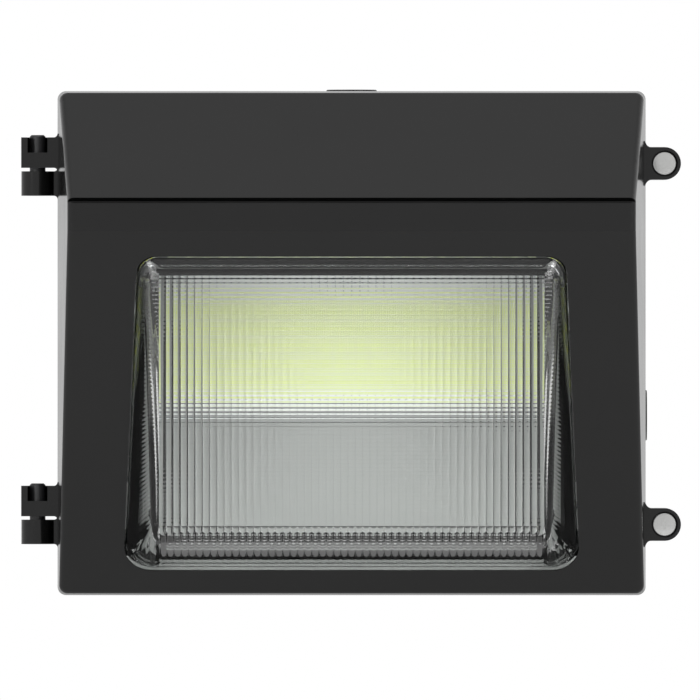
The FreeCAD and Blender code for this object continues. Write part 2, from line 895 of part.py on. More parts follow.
# ------------------------------------------------------------------ hinge pins
def make_hinge_pin(z_high):
    """Shouldered pin: pressed in the cover's arm, turning in the barrel."""
    z_shoulder = z_high - hinge_arm_height - hinge_gap
    z_low = ring_low(z_high) - pin_tail
    head_length = z_high + pin_stand - z_shoulder
    head = rod(at(hinge_x, housing_depth, z_shoulder), UP, pin_radius, head_length)
    tip = [edge for edge in head.Edges
           if edge.Closed and abs(edge.CenterOfMass.z - z_high - pin_stand) < 1e-6]
    head = head.makeChamfer(pin_chamfer, tip)
    shank = rod(at(hinge_x, housing_depth, z_low), UP, pin_shank_radius, z_shoulder - z_low)
    groove = rod(at(hinge_x, housing_depth, ring_low(z_high)), UP, pin_shank_radius + 1,
                 ring_thickness)
    core = rod(at(hinge_x, housing_depth, ring_low(z_high) - 1), UP,
               pin_shank_radius - ring_groove, ring_thickness + 2)
    return union([head, shank]).cut(groove.cut(core))


def ring_low(z_high):
    """Underside of the retaining ring on the pin of one hinge."""
    z_barrel = z_high - hinge_arm_height - hinge_gap - barrel_height
    return z_barrel + ring_recess_depth - ring_gap - ring_thickness


def make_hinge_rings():
    """Retaining rings that keep the pins in the barrels."""
    rings = []
    for z_high in arm_tops():
        outer = rod(at(hinge_x, housing_depth, ring_low(z_high)), UP, ring_radius,
                    ring_thickness)
        bore = rod(at(hinge_x, housing_depth, ring_low(z_high) - 1), UP,
                   pin_shank_radius - ring_groove, ring_thickness + 2)
        slot = block((hinge_x - ring_groove * 4, hinge_x + ring_groove * 4),
                     (housing_depth - ring_radius - 1, housing_depth),
                     (ring_low(z_high) - 1, ring_low(z_high) + ring_thickness + 1))
        rings.append(outer.cut([bore, slot]))
    return Part.makeCompound(rings)


# --------------------------------------------------------- captive cover screws
def screw_seat_depth():
    """Depth of the face under the screw's head."""
    return housing_depth + cover_ear_length - screw_recess_depth + washer_thickness


def make_cover_screw(z):
    """Captive machine screw with a pan head and a cross recess."""
    seat = screw_seat_depth()
    length = seat - housing_depth + screw_engagement
    shank = rod(at(ear_x, seat - length, z), FORWARD, screw_radius, length)
    head = rod(at(ear_x, seat, z), FORWARD, screw_head_radius, screw_head_height)
    crown_radius = (screw_head_radius ** 2 + screw_head_crown ** 2) / (2 * screw_head_crown)
    head = head.common(Part.makeSphere(
        crown_radius, at(ear_x, seat + screw_head_height - crown_radius, z)))
    floor = seat + screw_head_height - screw_cross_depth
    slots = []
    for long, high in ((screw_cross_length, screw_cross_width),
                       (screw_cross_width, screw_cross_length)):
        slots.append(block((ear_x - long / 2, ear_x + long / 2),
                           (floor, floor + screw_cross_depth + 1),
                           (z - high / 2, z + high / 2)))
    return union([shank, head]).cut(slots)


def make_screw_retainer(z):
    """Ring on the screw's shank that keeps the screw in the cover's ear."""
    start = housing_depth + retainer_gap
    ring = rod(at(ear_x, start, z), FORWARD, retainer_radius, retainer_thickness)
    bore = rod(at(ear_x, start - 1, z), FORWARD, screw_radius + pin_running,
               retainer_thickness + 2)
    return ring.cut(bore)


def make_cover_screw_washers():
    """Sealing washers on the floor of the two screw recesses."""
    floor = housing_depth + cover_ear_length - screw_recess_depth
    washers = []
    for z in ear_heights():
        ring = rod(at(ear_x, floor, z), FORWARD, washer_radius, washer_thickness)
        bore = rod(at(ear_x, floor - 1, z), FORWARD, screw_radius + screw_thread_gap,
                   washer_thickness + 2)
        washers.append(ring.cut(bore))
    return Part.makeCompound(washers)


# --------------------------------------------------------------- closure plugs
def plug_body_radius():
    """Radius of the plug in the entry thread."""
    return entry_radius - plug_running


def seal_seat_radius():
    """Radius of the seat that takes the plug's seal."""
    return plug_body_radius() + 2 * seal_section + 2 * seal_clearance


def make_plug(seat, outward, across):
    """Closure plug: cupped body, thin flange and a slot for a screwdriver."""
    body = rod(seat - outward * plug_length, outward, plug_body_radius(), plug_length)
    flange = rod(seat, outward, plug_flange_radius, plug_flange_thickness)
    rim = [edge for edge in flange.Edges
           if edge.Closed
           and abs((edge.CenterOfMass - seat).dot(outward) - plug_flange_thickness) < 1e-6]
    flange = flange.makeChamfer(plug_flange_thickness * 0.4, rim)
    cup = rod(seat - outward * (plug_length + 1), outward, plug_cup_radius,
              plug_cup_depth + 1)
    third = outward.cross(across)
    top = seat + outward * (plug_flange_thickness + 1)
    corners = [top + across * (sx * plug_slot_length / 2) + third * (sz * plug_slot_width / 2)
               for sx, sz in ((-1, -1), (1, -1), (1, 1), (-1, 1))]
    slot = polygon_face(corners).extrude(outward * -(plug_slot_depth + 1))
    return union([body, flange]).cut([cup, slot])


def make_plug_seal(seat, outward):
    """Sealing ring under the plug's flange."""
    major = plug_body_radius() + seal_section + seal_clearance
    centre = seat - outward * (seal_section + seal_clearance / 2)
    return Part.makeTorus(major, seal_section, centre, outward)


# ------------------------------------------------------------ LED tray and board
def make_led_tray():
    """Folded sheet tray that stands on the housing's posts."""
    back = tray_front - tray_sheet
    panel = block((-tray_half_width, tray_half_width), (back, tray_front),
                  (tray_bottom, tray_top))
    pieces = [panel]
    cuts = []
    for side in (-1, 1):
        inner = side * (tray_half_width - tray_sheet)
        outer = side * tray_half_width
        pieces.append(block((inner, outer), (post_depth, tray_front),
                            (tray_bottom, tray_top - tray_side_step)))
        for z in tray_foot_heights():
            pieces.append(block((inner, side * (tray_half_width + tray_foot_width)),
                                (post_depth, post_depth + tray_sheet),
                                (z - tray_foot_length / 2, z + tray_foot_length / 2)))
            cuts.append(rod(at(side * (tray_half_width + tray_foot_width / 2),
                               post_depth - 1, z), FORWARD, tray_screw_radius,
                            tray_sheet + 2))
    for z in (tray_bottom, tray_top - tray_sheet):
        pieces.append(block((-tray_half_width, tray_half_width),
                            (tray_front - tray_lip, tray_front),
                            (z, z + tray_sheet)))
    cuts.append(rod(at(connector_x, back - 1, connector_height), FORWARD, grommet_neck,
                    tray_sheet + 2))
    for x, z in board_screw_places():
        cuts.append(rod(at(x, back - 1, z), FORWARD, board_screw_radius, tray_sheet + 2))
    return union(pieces).cut(cuts)


def make_led_tray_screws():
    """Screws through the tray's feet."""
    screws = [pan_screw(at(x, post_depth + tray_sheet, z), FORWARD, tray_screw_radius,
                        tray_screw_depth, tray_screw_head_radius, tray_screw_head_height)
              for x, z in post_places()]
    return Part.makeCompound(screws)


def board_screw_places():
    """Places of the screws along the board's upper and lower edges."""
    reach = board_half_width - board_screw_inset_x
    step = 2 * reach / (board_screw_columns - 1)
    places = []
    for index in range(board_screw_columns):
        x = -reach + index * step
        places.append((x, board_top - board_screw_inset_z))
        places.append((x, board_bottom + board_screw_inset_z))
    return places


def board_plate(depth_start, depth_end, lead_hole_radius):
    """Plate of the board's outline with its screw holes and lead hole."""
    plate = block((-board_half_width, board_half_width), (depth_start, depth_end),
                  (board_bottom, board_top))
    cuts = [rod(at(x, depth_start - 1, z), FORWARD, board_screw_radius,
                depth_end - depth_start + 2) for x, z in board_screw_places()]
    cuts.append(rod(at(connector_x, depth_start - 1, connector_height), FORWARD,
                    lead_hole_radius, depth_end - depth_start + 2))
    return plate.cut(cuts)


def make_led_emitters():
    """Light emitting diodes in rows over the board."""
    half = led_size / 2
    emitters = []
    for column in range(led_columns):
        x = (column - (led_columns - 1) / 2) * led_pitch_x
        for row in range(led_rows):
            z = led_middle + (row - (led_rows - 1) / 2) * led_pitch_z
            emitters.append(block((x - half, x + half), (board_front, board_front + led_height),
                                  (z - half, z + half)))
    return Part.makeCompound(emitters)


def make_led_board_screws():
    """Screws that press the board and pad to the tray."""
    screws = [pan_screw(at(x, board_front, z), FORWARD, board_screw_radius,
                        board_front - tray_front + tray_sheet + board_screw_stand,
                        board_screw_head_radius, board_screw_head_height)
              for x, z in board_screw_places()]
    return Part.makeCompound(screws)


def make_board_connector():
    """Connector over the lead hole on the board's front."""
    return block((connector_x - connector_length / 2, connector_x + connector_length / 2),
                 (board_front, board_front + connector_thickness),
                 (connector_height - connector_width / 2,
                  connector_height + connector_width / 2))


# ----------------------------------------------------------------------- driver
def driver_span():
    """Height limits of the driver's case."""
    return driver_bottom, driver_bottom + driver_width


def make_driver_case():
    """Open aluminium case of the driver with a fixing ear at each end."""
    z_span = driver_span()
    front = back_wall + driver_height - driver_lid
    shell = block((-driver_half_length, driver_half_length), (back_wall, front), z_span)
    hollow = block((-driver_half_length + driver_wall, driver_half_length - driver_wall),
                   (back_wall + driver_wall, front + 1),
                   (z_span[0] + driver_wall, z_span[1] - driver_wall))
    pieces = [shell.cut(hollow)]
    middle = driver_middle()
    cuts = []
    for side in (-1, 1):
        start = side * (driver_half_length - driver_wall)
        end = side * driver_reach
        pieces.append(block((start, end),
                            (driver_boss_top(), driver_boss_top() + driver_ear_thickness),
                            (middle - driver_ear_length / 2, middle + driver_ear_length / 2)))
        x = side * (driver_half_length + driver_ear_length / 2)
        cuts.append(rod(at(x, driver_boss_top() - 1, middle), FORWARD,
                        driver_screw_radius, driver_ear_thickness + 2))
        for offset in (-0.5, 0.5):
            cuts.append(rod(at(start - side, lead_depth, lead_level() + offset * lead_spacing),
                            RIGHT * side, lead_radius + lead_fit, driver_wall + 2))
    return union(pieces).cut(cuts)


def make_driver_lid():
    """Flat lid of the driver."""
    z_span = driver_span()
    front = back_wall + driver_height
    return block((-driver_half_length, driver_half_length), (front - driver_lid, front), z_span)


def circuit_front():
    """Depth of the component side of the driver's circuit board."""
    return back_wall + driver_wall + circuit_gap + circuit_thickness


def make_driver_circuit():
    """Circuit board of the driver on its four corner stand-offs."""
    z_span = driver_span()
    half = driver_half_length - driver_wall - circuit_inset
    low = z_span[0] + driver_wall + circuit_inset
    high = z_span[1] - driver_wall - circuit_inset
    pieces = [block((-half, half), (circuit_front() - circuit_thickness, circuit_front()),
                    (low, high))]
    stand = circuit_gap
    for x in (-half + stand, half - stand):
        for z in (low + stand, high - stand):
            pieces.append(rod(at(x, back_wall + driver_wall, z), FORWARD, stand / 2,
                              circuit_gap))
    return union(pieces)


def make_driver_components():
    """Transformer, rectifier, choke and two capacitors on the driver's board."""
    base = circuit_front()
    middle = driver_middle()

    def case(x, size, height):
        return block((x - size / 2, x + size / 2), (base, base + height),
                     (middle - size / 2, middle + size / 2))

    can = rod(at(capacitor_x, base, middle), FORWARD, capacitor_radius, capacitor_height)
    second = can.copy()
    second.translate(RIGHT * (2 * capacitor_radius + 2))
    return Part.makeCompound([
        case(transformer_x, transformer_size, transformer_height),
        case(bridge_x, bridge_size, bridge_height),
        rod(at(choke_x, base, middle), FORWARD, choke_radius, choke_height),
        can,
        second,
    ])


def make_driver_screws():
    """Screws that hold the driver's ears to the housing's back wall."""
    seat = driver_boss_top() + driver_ear_thickness
    screws = [pan_screw(at(x, seat, driver_middle()), FORWARD,
                        driver_screw_radius, driver_screw_depth, driver_screw_head_radius,
                        driver_screw_head_height)
              for x in driver_screw_xs()]
    return Part.makeCompound(screws)


# ------------------------------------------------------------------------ leads
def lead_level():
    """Height of the middle between the two leads at the driver's ends."""
    return driver_middle() + driver_ear_length


def make_output_lead(offset):
    """Lead from the driver's right end to the board's connector."""
    rise = offset * lead_spacing
    level = lead_level() + rise
    target = connector_height + rise
    side = driver_half_length + lead_run_out
    return lead([
        at(driver_half_length - driver_wall, lead_depth, level),
        at(side, lead_depth, level),
        at(side, (lead_depth + tray_front) / 2, (level + target) / 2),
        at(connector_x, tray_front - lead_run_out, target),
        at(connector_x, board_front, target),
    ])


def make_supply_lead(offset):
    """Lead from the driver's left end to its wire connector, the lower lead outside."""
    level = lead_level() + offset * lead_spacing
    target = nut_height - offset * nut_spacing
    side = -driver_half_length - lead_run_out + offset * lead_spacing
    return lead([
        at(-driver_half_length + driver_wall, lead_depth, level),
        at(side, lead_depth, level),
        at(side, lead_depth, target),
        at(nut_end_x, lead_depth, target),
    ])


def make_ground_lead():
    """Lead from the ground screw's tag to the third wire connector."""
    tag_depth = back_wall + ground_boss_length
    target = nut_height + 1.5 * nut_spacing
    start_x = ground_screw_x - ground_tag_radius - ground_crimp_length
    return lead([
        at(start_x, tag_depth + lead_radius, ground_screw_z),
        at(start_x - lead_run_out, tag_depth + lead_radius, ground_screw_z),
        at(start_x - lead_run_out, lead_depth, target),
        at(nut_end_x, lead_depth, target),
    ])


def make_ground_tag():
    """Ring tag of the ground lead under the ground screw."""
    tag_depth = back_wall + ground_boss_length
    ring = rod(at(ground_screw_x, tag_depth, ground_screw_z), FORWARD, ground_tag_radius,
               ground_tag_thickness)
    barrel_end = ground_screw_x - ground_tag_radius
    crimp = block((barrel_end - ground_crimp_length, ground_screw_x - ground_screw_radius * 1.5),
                  (tag_depth, tag_depth + ground_tag_thickness),
                  (ground_screw_z - lead_radius, ground_screw_z + lead_radius))
    hole = rod(at(ground_screw_x, tag_depth - 1, ground_screw_z), FORWARD,
               ground_screw_radius, ground_tag_thickness + 2)
    return union([ring, crimp]).cut(hole)


def make_wire_connectors():
    """Screw-on connectors that join the leads to the supply wires."""
    nuts = []
    for offset in (-0.5, 0.5, 1.5):
        z = nut_height + offset * nut_spacing
        nuts.append(Part.makeCone(nut_radius, nut_tip_radius, nut_length,
                                  at(nut_end_x, lead_depth, z), RIGHT))
    return Part.makeCompound(nuts)


def make_grommet():
    """Rubber grommet in the tray around the two output leads."""
    back = tray_front - tray_sheet
    rear = rod(at(connector_x, back - grommet_rear_flange, connector_height), FORWARD,
               grommet_radius, grommet_rear_flange)
    neck = rod(at(connector_x, back, connector_height), FORWARD, grommet_neck, tray_sheet)
    front = rod(at(connector_x, tray_front, connector_height), FORWARD, grommet_radius,
                pad_thickness)
    holes = []
    for offset in (-0.5, 0.5):
        holes.append(rod(at(connector_x, back - grommet_rear_flange - 1,
                            connector_height + offset * lead_spacing), FORWARD,
                         lead_radius + lead_fit, tray_sheet + grommet_rear_flange + 4))
    return union([rear, neck, front]).cut(holes)


def make_ground_screw():
    """Ground screw in its boss on the back wall."""
    seat = at(ground_screw_x, back_wall + ground_boss_length + ground_tag_thickness,
              ground_screw_z)
    return pan_screw(seat, FORWARD, ground_screw_radius,
                     ground_screw_depth + ground_tag_thickness - hole_end_gap,
                     ground_screw_head_radius, ground_screw_head_height)


# ----------------------------------------------------------------- the assembly
def build_nodes():
    """Every separate piece by its node name."""
    top_seat = at(0, entry_depth, half_height)
    side_seat = at(half_width, entry_depth, side_entry_height)
    screw_heights = ear_heights()
    tops = arm_tops()
    lead_hole = (lead_spacing + 2 * lead_radius) / 2 + lead_fit
    return {
        "rear_housing": make_rear_housing(),
        "front_cover": make_front_cover(),
        "glass_refractor": make_glass_refractor(),
        "lens_gasket": make_lens_gasket(),
        "lens_clips": make_lens_clips(),
        "lens_clip_screws": make_lens_clip_screws(),
        "cover_gasket": gasket_ring(housing_depth, housing_depth + gasket_depth),
        "hinge_pin_upper": make_hinge_pin(tops[0]),
        "hinge_pin_lower": make_hinge_pin(tops[1]),
        "hinge_retaining_rings": make_hinge_rings(),
        "cover_screw_upper": make_cover_screw(screw_heights[0]),
        "cover_screw_lower": make_cover_screw(screw_heights[1]),
        "screw_retainer_upper": make_screw_retainer(screw_heights[0]),
        "screw_retainer_lower": make_screw_retainer(screw_heights[1]),
        "cover_screw_washers": make_cover_screw_washers(),
        "top_entry_plug": make_plug(top_seat, UP, RIGHT),
        "top_plug_seal": make_plug_seal(top_seat, UP),
        "side_entry_plug": make_plug(side_seat, RIGHT, UP),
        "side_plug_seal": make_plug_seal(side_seat, RIGHT),
        "led_tray": make_led_tray(),
        "led_tray_screws": make_led_tray_screws(),
        "thermal_pad": board_plate(tray_front, pad_front, grommet_radius),
        "led_board": board_plate(pad_front, board_front, lead_hole),
        "led_emitters": make_led_emitters(),
        "led_board_screws": make_led_board_screws(),
        "board_connector": make_board_connector(),
        "driver_case": make_driver_case(),
        "driver_lid": make_driver_lid(),
        "driver_circuit_board": make_driver_circuit(),
        "driver_components": make_driver_components(),
        "driver_screws": make_driver_screws(),
        "output_lead_positive": make_output_lead(0.5),
        "output_lead_negative": make_output_lead(-0.5),
        "supply_lead_line": make_supply_lead(-0.5),
        "supply_lead_neutral": make_supply_lead(0.5),
        "ground_lead": make_ground_lead(),
        "ground_tag": make_ground_tag(),
        "ground_screw": make_ground_screw(),
        "wire_connectors": make_wire_connectors(),
        "lead_grommet": make_grommet(),
    }


os.makedirs("parts", exist_ok=True)
for name, shape in build_nodes().items():
    shape.exportStep("parts/" + name + ".step")
    print(name, len(shape.Solids), round(shape.Volume, 1), shape.isValid())
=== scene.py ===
import math

import bmesh
import bpy
import numpy as np
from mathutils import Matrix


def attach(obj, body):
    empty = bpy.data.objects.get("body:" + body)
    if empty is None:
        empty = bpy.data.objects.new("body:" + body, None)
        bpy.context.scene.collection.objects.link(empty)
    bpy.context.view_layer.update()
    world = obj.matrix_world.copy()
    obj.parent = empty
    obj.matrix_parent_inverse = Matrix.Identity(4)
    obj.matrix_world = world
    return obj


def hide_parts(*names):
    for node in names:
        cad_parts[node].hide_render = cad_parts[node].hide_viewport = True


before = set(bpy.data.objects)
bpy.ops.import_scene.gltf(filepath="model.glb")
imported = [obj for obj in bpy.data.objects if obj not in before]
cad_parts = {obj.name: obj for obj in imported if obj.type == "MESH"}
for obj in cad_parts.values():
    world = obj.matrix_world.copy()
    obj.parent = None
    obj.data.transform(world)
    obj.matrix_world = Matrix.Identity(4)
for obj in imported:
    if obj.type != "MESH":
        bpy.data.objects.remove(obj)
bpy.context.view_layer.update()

# ------------------------------------------------------------------- studio
# A long camera stands straight in front of the light. The room round it is
# white and soft, a pale floor lies under it, and soft lamps stand above and on
# both sides, with fill light beside the camera that the black coat doesn't mirror.
camera_data = bpy.data.cameras.new("camera")
camera_data.sensor_width = 36.0
camera_data.lens = 1600.0
camera_data.clip_end = 100.0
camera = bpy.data.objects.new("camera", camera_data)
bpy.context.collection.objects.link(camera)
rim_plane = -0.0975
view_width = 0.326
view_distance = view_width * camera_data.lens / camera_data.sensor_width
camera.location = (-0.000745, rim_plane - view_distance, -0.003213)
camera.rotation_euler = (math.pi / 2, 0.0, 0.0)
bpy.context.scene.camera = camera
bpy.context.scene.view_settings.view_transform = "Standard"


def put(tree, kind, settings=None, inputs=None):
    """Adds a node to a tree. Inputs are numbers, colours or sockets, by name or index."""
    node = tree.nodes.new(kind)
    for name, value in (settings or {}).items():
        setattr(node, name, value)
    for key, value in (inputs or {}).items():
        if isinstance(value, bpy.types.NodeSocket):
            tree.links.new(value, node.inputs[key])
        else:
            node.inputs[key].default_value = value
    return node


def calc(tree, operation, *terms):
    """Arithmetic on numbers or sockets, as the output socket."""
    node = put(tree, "ShaderNodeMath", {"operation": operation}, dict(enumerate(terms)))
    return node.outputs[0]


def ramp(tree, factor, stops):
    """Colour ramp over a factor, from (place, colour) pairs, as the output socket."""
    node = put(tree, "ShaderNodeValToRGB", inputs={"Fac": factor})
    elements = node.color_ramp.elements
    while len(elements) < len(stops):
        elements.new(0.5)
    for element, (place, colour) in zip(elements, stops):
        element.position = place
        element.color = (*colour, 1.0)
    return node.outputs["Color"]


world = bpy.data.worlds.new("room")
world.use_nodes = True
bpy.context.scene.world = world
tree = world.node_tree
tree.nodes.clear()
direction = put(tree, "ShaderNodeTexCoord").outputs["Generated"]
height = put(tree, "ShaderNodeSeparateXYZ", inputs={0: direction}).outputs["Z"]
share = calc(tree, "MULTIPLY_ADD", height, 0.5, 0.5)
room_colour = ramp(tree, share, [
    (0.0, (0.42, 0.42, 0.42)),
    (0.42, (0.56, 0.56, 0.56)),
    (0.5, (0.66, 0.66, 0.66)),
    (0.60, (0.62, 0.62, 0.62)),
    (0.88, (0.36, 0.36, 0.36)),
    (1.0, (0.55, 0.55, 0.55)),
])
room = put(tree, "ShaderNodeBackground", inputs={"Color": room_colour, "Strength": 1.0})
paper = put(tree, "ShaderNodeBackground", inputs={"Color": (1, 1, 1, 1), "Strength": 1.0})
seen = put(tree, "ShaderNodeLightPath").outputs["Is Camera Ray"]
both = put(tree, "ShaderNodeMixShader",
           inputs={0: seen, 1: room.outputs[0], 2: paper.outputs[0]})
put(tree, "ShaderNodeOutputWorld", inputs={"Surface": both.outputs[0]})

for name, size, energy, mirrored, place in (
        ("left lamp", 1.3, 14.0, True, (-1.75, -1.85, 0.85)),
        ("right lamp", 1.3, 14.0, True, (1.75, -1.85, 0.85)),
        ("left fill", 1.6, 32.0, False, (-1.75, -1.95, 0.0)),
        ("right fill", 1.6, 32.0, False, (1.75, -1.95, 0.0)),
        ("top lamp", 1.2, 12.0, True, (0.1, -0.9, 2.2))):
    lamp_data = bpy.data.lights.new(name, "AREA")
    lamp_data.shape = "DISK"
    lamp_data.size = size
    lamp_data.energy = energy
    lamp = bpy.data.objects.new(name, lamp_data)
    bpy.context.collection.objects.link(lamp)
    lamp.location = place
    lamp.visible_glossy = mirrored
    lamp.rotation_euler = (-lamp.location).to_track_quat("-Z", "Y").to_euler()

floor_mesh = bpy.data.meshes.new("floor")
floor_shape = bmesh.new()
bmesh.ops.create_circle(floor_shape, cap_ends=True, segments=96, radius=3.0)
floor_shape.to_mesh(floor_mesh)
floor_shape.free()
floor = bpy.data.objects.new("floor", floor_mesh)
bpy.context.collection.objects.link(floor)
floor.location = (0.0, 0.0, -0.30)
floor_material = bpy.data.materials.new("pale floor")
floor_material.use_nodes = True
floor_tree = floor_material.node_tree
floor_shader = floor_tree.nodes["Principled BSDF"]
floor_place = put(floor_tree, "ShaderNodeTexCoord").outputs["Object"]
floor_noise = put(floor_tree, "ShaderNodeTexNoise",
                  inputs={"Vector": floor_place, "Scale": 7.0, "Detail": 4.0})
floor_tree.links.new(
    ramp(floor_tree, floor_noise.outputs["Fac"],
         [(0.3, (0.70, 0.70, 0.70)), (0.7, (0.71, 0.71, 0.705))]),
    floor_shader.inputs["Base Color"])
floor_shader.inputs["Roughness"].default_value = 0.7
floor_mesh.materials.append(floor_material)

# ------------------------------------------------- black castings and lugs
# The rear housing and the front cover are die-cast aluminium with a smooth
# black baked coating. The coat has a faint orange peel and a little cloudiness.


def new_group(name, inputs, outputs):
    """Shader node group with colour or number sockets, and its two end nodes."""
    group = bpy.data.node_groups.new(name, "ShaderNodeTree")
    for label, value in inputs:
        kind = "NodeSocketColor" if isinstance(value, tuple) else "NodeSocketFloat"
        socket = group.interface.new_socket(label, in_out="INPUT", socket_type=kind)
        socket.default_value = value
    for label, kind in outputs:
        group.interface.new_socket(label, in_out="OUTPUT", socket_type=kind)
    start = group.nodes.new("NodeGroupInput")
    end = group.nodes.new("NodeGroupOutput")
    return group, start, end


SURFACE_OUTPUTS = [("Color", "NodeSocketColor"), ("Roughness", "NodeSocketFloat"),
                   ("Height", "NodeSocketFloat")]

coating, start, end = new_group(
    "baked coating",
    [("Paint", (0.002, 0.002, 0.002, 1.0)), ("Haze", (0.004, 0.004, 0.004, 1.0)),
     ("Gloss", 0.3), ("Peel Size", 420.0)],
    SURFACE_OUTPUTS)
place = put(coating, "ShaderNodeTexCoord").outputs["Object"]
cloud = put(coating, "ShaderNodeTexNoise",
            inputs={"Vector": place, "Scale": 22.0, "Detail": 5.0}).outputs["Fac"]
peel = put(coating, "ShaderNodeTexNoise",
           inputs={"Vector": place, "Scale": start.outputs["Peel Size"],
                   "Detail": 2.0}).outputs["Fac"]
grit = put(coating, "ShaderNodeTexVoronoi",
           inputs={"Vector": place, "Scale": 1900.0}).outputs["Distance"]
shade = put(coating, "ShaderNodeMix", {"data_type": "RGBA"},
            {0: calc(coating, "POWER", cloud, 2.0), 6: start.outputs["Paint"],
             7: start.outputs["Haze"]})
coating.links.new(shade.outputs[2], end.inputs["Color"])
rough = calc(coating, "MULTIPLY_ADD", calc(coating, "SUBTRACT", cloud, 0.5), 0.10,
             start.outputs["Gloss"])
coating.links.new(calc(coating, "MULTIPLY_ADD", calc(coating, "SUBTRACT", peel, 0.5), 0.04,
                       rough), end.inputs["Roughness"])
coating.links.new(calc(coating, "MULTIPLY_ADD", grit, 0.12, peel), end.inputs["Height"])


def surface(name, group, inputs, bump, shader_values):
    """Material whose colour, roughness and relief come from a surface group."""
    material = bpy.data.materials.new(name)
    material.use_nodes = True
    tree = material.node_tree
    shader = tree.nodes["Principled BSDF"]
    effect = put(tree, "ShaderNodeGroup", {"node_tree": group}, inputs)
    strength, distance = bump
    relief = put(tree, "ShaderNodeBump",
                 inputs={"Strength": strength, "Distance": distance,
                         "Height": effect.outputs["Height"]})
    tree.links.new(effect.outputs["Color"], shader.inputs["Base Color"])
    tree.links.new(effect.outputs["Roughness"], shader.inputs["Roughness"])
    tree.links.new(relief.outputs["Normal"], shader.inputs["Normal"])
    for key, value in shader_values.items():
        shader.inputs[key].default_value = value
    return material


def dress(material, *nodes):
    """Gives CAD pieces a material."""
    for node in nodes:
        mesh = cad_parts[node].data
        mesh.materials.clear()
        mesh.materials.append(material)


black_casting = surface("black casting", coating, {"Gloss": 0.13}, (0.12, 0.00004),
                        {"IOR": 1.5})
dress(black_casting, "rear_housing", "front_cover")

# ------------------------------------------------------------- the refractor
# A pressed glass bowl. Its outside has upright flutes that run over the rounded
# lower edge and fade out down the wall, its inside has fine level ribs, and a flange
# behind the cover's face holds it against the gasket. Sizes in millimetres.
rim_front = 97.5
rim_high = 116.583
slope_angle = math.radians(28.01)
face_low = (163.97, -92.13)
face_high = (182.96, 33.005)
face_outline = (-92.13, 33.005, 92.5, 94.3, 5.0, 5.0)
foot_outline = (12.0, 177.5, 106.3, 99.5, 12.5, 9.5)
foot_gap = 0.5
glass_wall = 4.0
flange_width = 7.0
flange_front = -4.7
flange_back = -9.2
flute_pitch = 3.369
flute_radius = 2.2
flute_top_share = 0.38
flute_places = (-1.0, -0.94, -0.8, -0.55, -0.2, 0.2, 0.55, 0.8, 0.94)
flute_count = 53
rib_depth = 0.09
rib_steps = 8
rib_count = 61
rib_low_round = 3.6
rib_high_round = 0.8
flute_low_round = 6.7
flute_high_round = 1.4
flute_levels = 13
inner_reach = 87.0
inner_column_count = 25
corner_steps = 10
corner_arc_steps = 40
round_steps = 6
round_limit = 0.35
smallest_corner = 2.0
facet_steps = (0.04, 0.46, 0.5, 0.54, 0.96, 1.0)
lip_share = 0.86
lip_edge = 0.875
wall_flute_share = 0.8
side_rib_share = 0.35
facet_middle = (6.8, -4.4)
facet_end = (13.7, -7.2)
face_insets = (4.0, 0.68, 3.2, 1.7)
foot_insets = (4.0, 2.9, 4.0, 3.0)
foot_sinks = (0.9, 2.68)


def slope_point(across, along, outward):
    """Point over the cover's sloping face, as x, y and z."""
    depth = rim_front + along * math.sin(slope_angle) + outward * math.cos(slope_angle)
    z = -rim_high + along * math.cos(slope_angle) - outward * math.sin(slope_angle)
    return np.array((across, -depth, z))


def face_point(across, z, inset):
    """Point of the bowl's leaning front face at a height."""
    share = (z - face_low[1]) / (face_high[1] - face_low[1])
    depth = face_low[0] + (face_high[0] - face_low[0]) * share - inset
    return np.array((across, -depth, z))


def shrunk(outline, insets, gap):
    """Outline moved inwards by its low, high, low side and high side insets and a gap."""
    low, high, low_half, high_half, low_corner, high_corner = outline
    low_in, high_in, low_side, high_side = insets
    return (low + low_in + gap, high - high_in - gap, low_half - low_side - gap,
            high_half - high_side - gap, max(low_corner - low_side, smallest_corner),
            max(high_corner - high_side, smallest_corner))


def outline_half(outline, level):
    """Half width of an outline at a level, its corners counted in."""
    low, high, low_half, high_half, low_corner, high_corner = outline
    half = low_half + (high_half - low_half) * (level - low) / (high - low)
    for corner, past in ((low_corner, low + low_corner - level),
                         (high_corner, level - high + high_corner)):
        if past > 0:
            half -= corner - math.sqrt(max(corner * corner - past * past, 0.0))
    return half


def outline_edge(outline, x, top):
    """Level of an outline's lower or upper edge at a place across."""
    low, high, low_half, high_half, low_corner, high_corner = outline
    corner = high_corner if top else low_corner
    half = high_half if top else low_half
    past = max(abs(x) - half + corner, 0.0)
    drop = corner - math.sqrt(max(corner * corner - past * past, 0.0))
    return high - drop if top else low + drop


def corner_points(outline, x, level, top):
    """Evenly spaced points from a column's end round a corner to a level of the side."""
    low, high, low_half, high_half, low_corner, high_corner = outline
    corner = high_corner if top else low_corner
    centre_x = (high_half if top else low_half) - corner
    centre_z = high - corner if top else low + corner
    sign = 1 if top else -1
    path = [(x, outline_edge(outline, x, top))]
    for step in range(corner_arc_steps + 1):
        angle = math.pi / 2 * (1 - step / corner_arc_steps)
        spot = (centre_x + corner * math.cos(angle), centre_z + sign * corner * math.sin(angle))
        if spot[0] > x + 1e-6 and sign * (spot[1] - level) > 1e-6:
            path.append(spot)
    path.append((outline_half(outline, level), level))
    path = np.array(path)
    gone = np.concatenate(([0], np.cumsum(np.linalg.norm(np.diff(path, axis=0), axis=1))))
    places = np.linspace(0, gone[-1], corner_steps + 2)[1:-1]
    return [(np.interp(place, gone, path[:, 0]), np.interp(place, gone, path[:, 1]))
            for place in places]


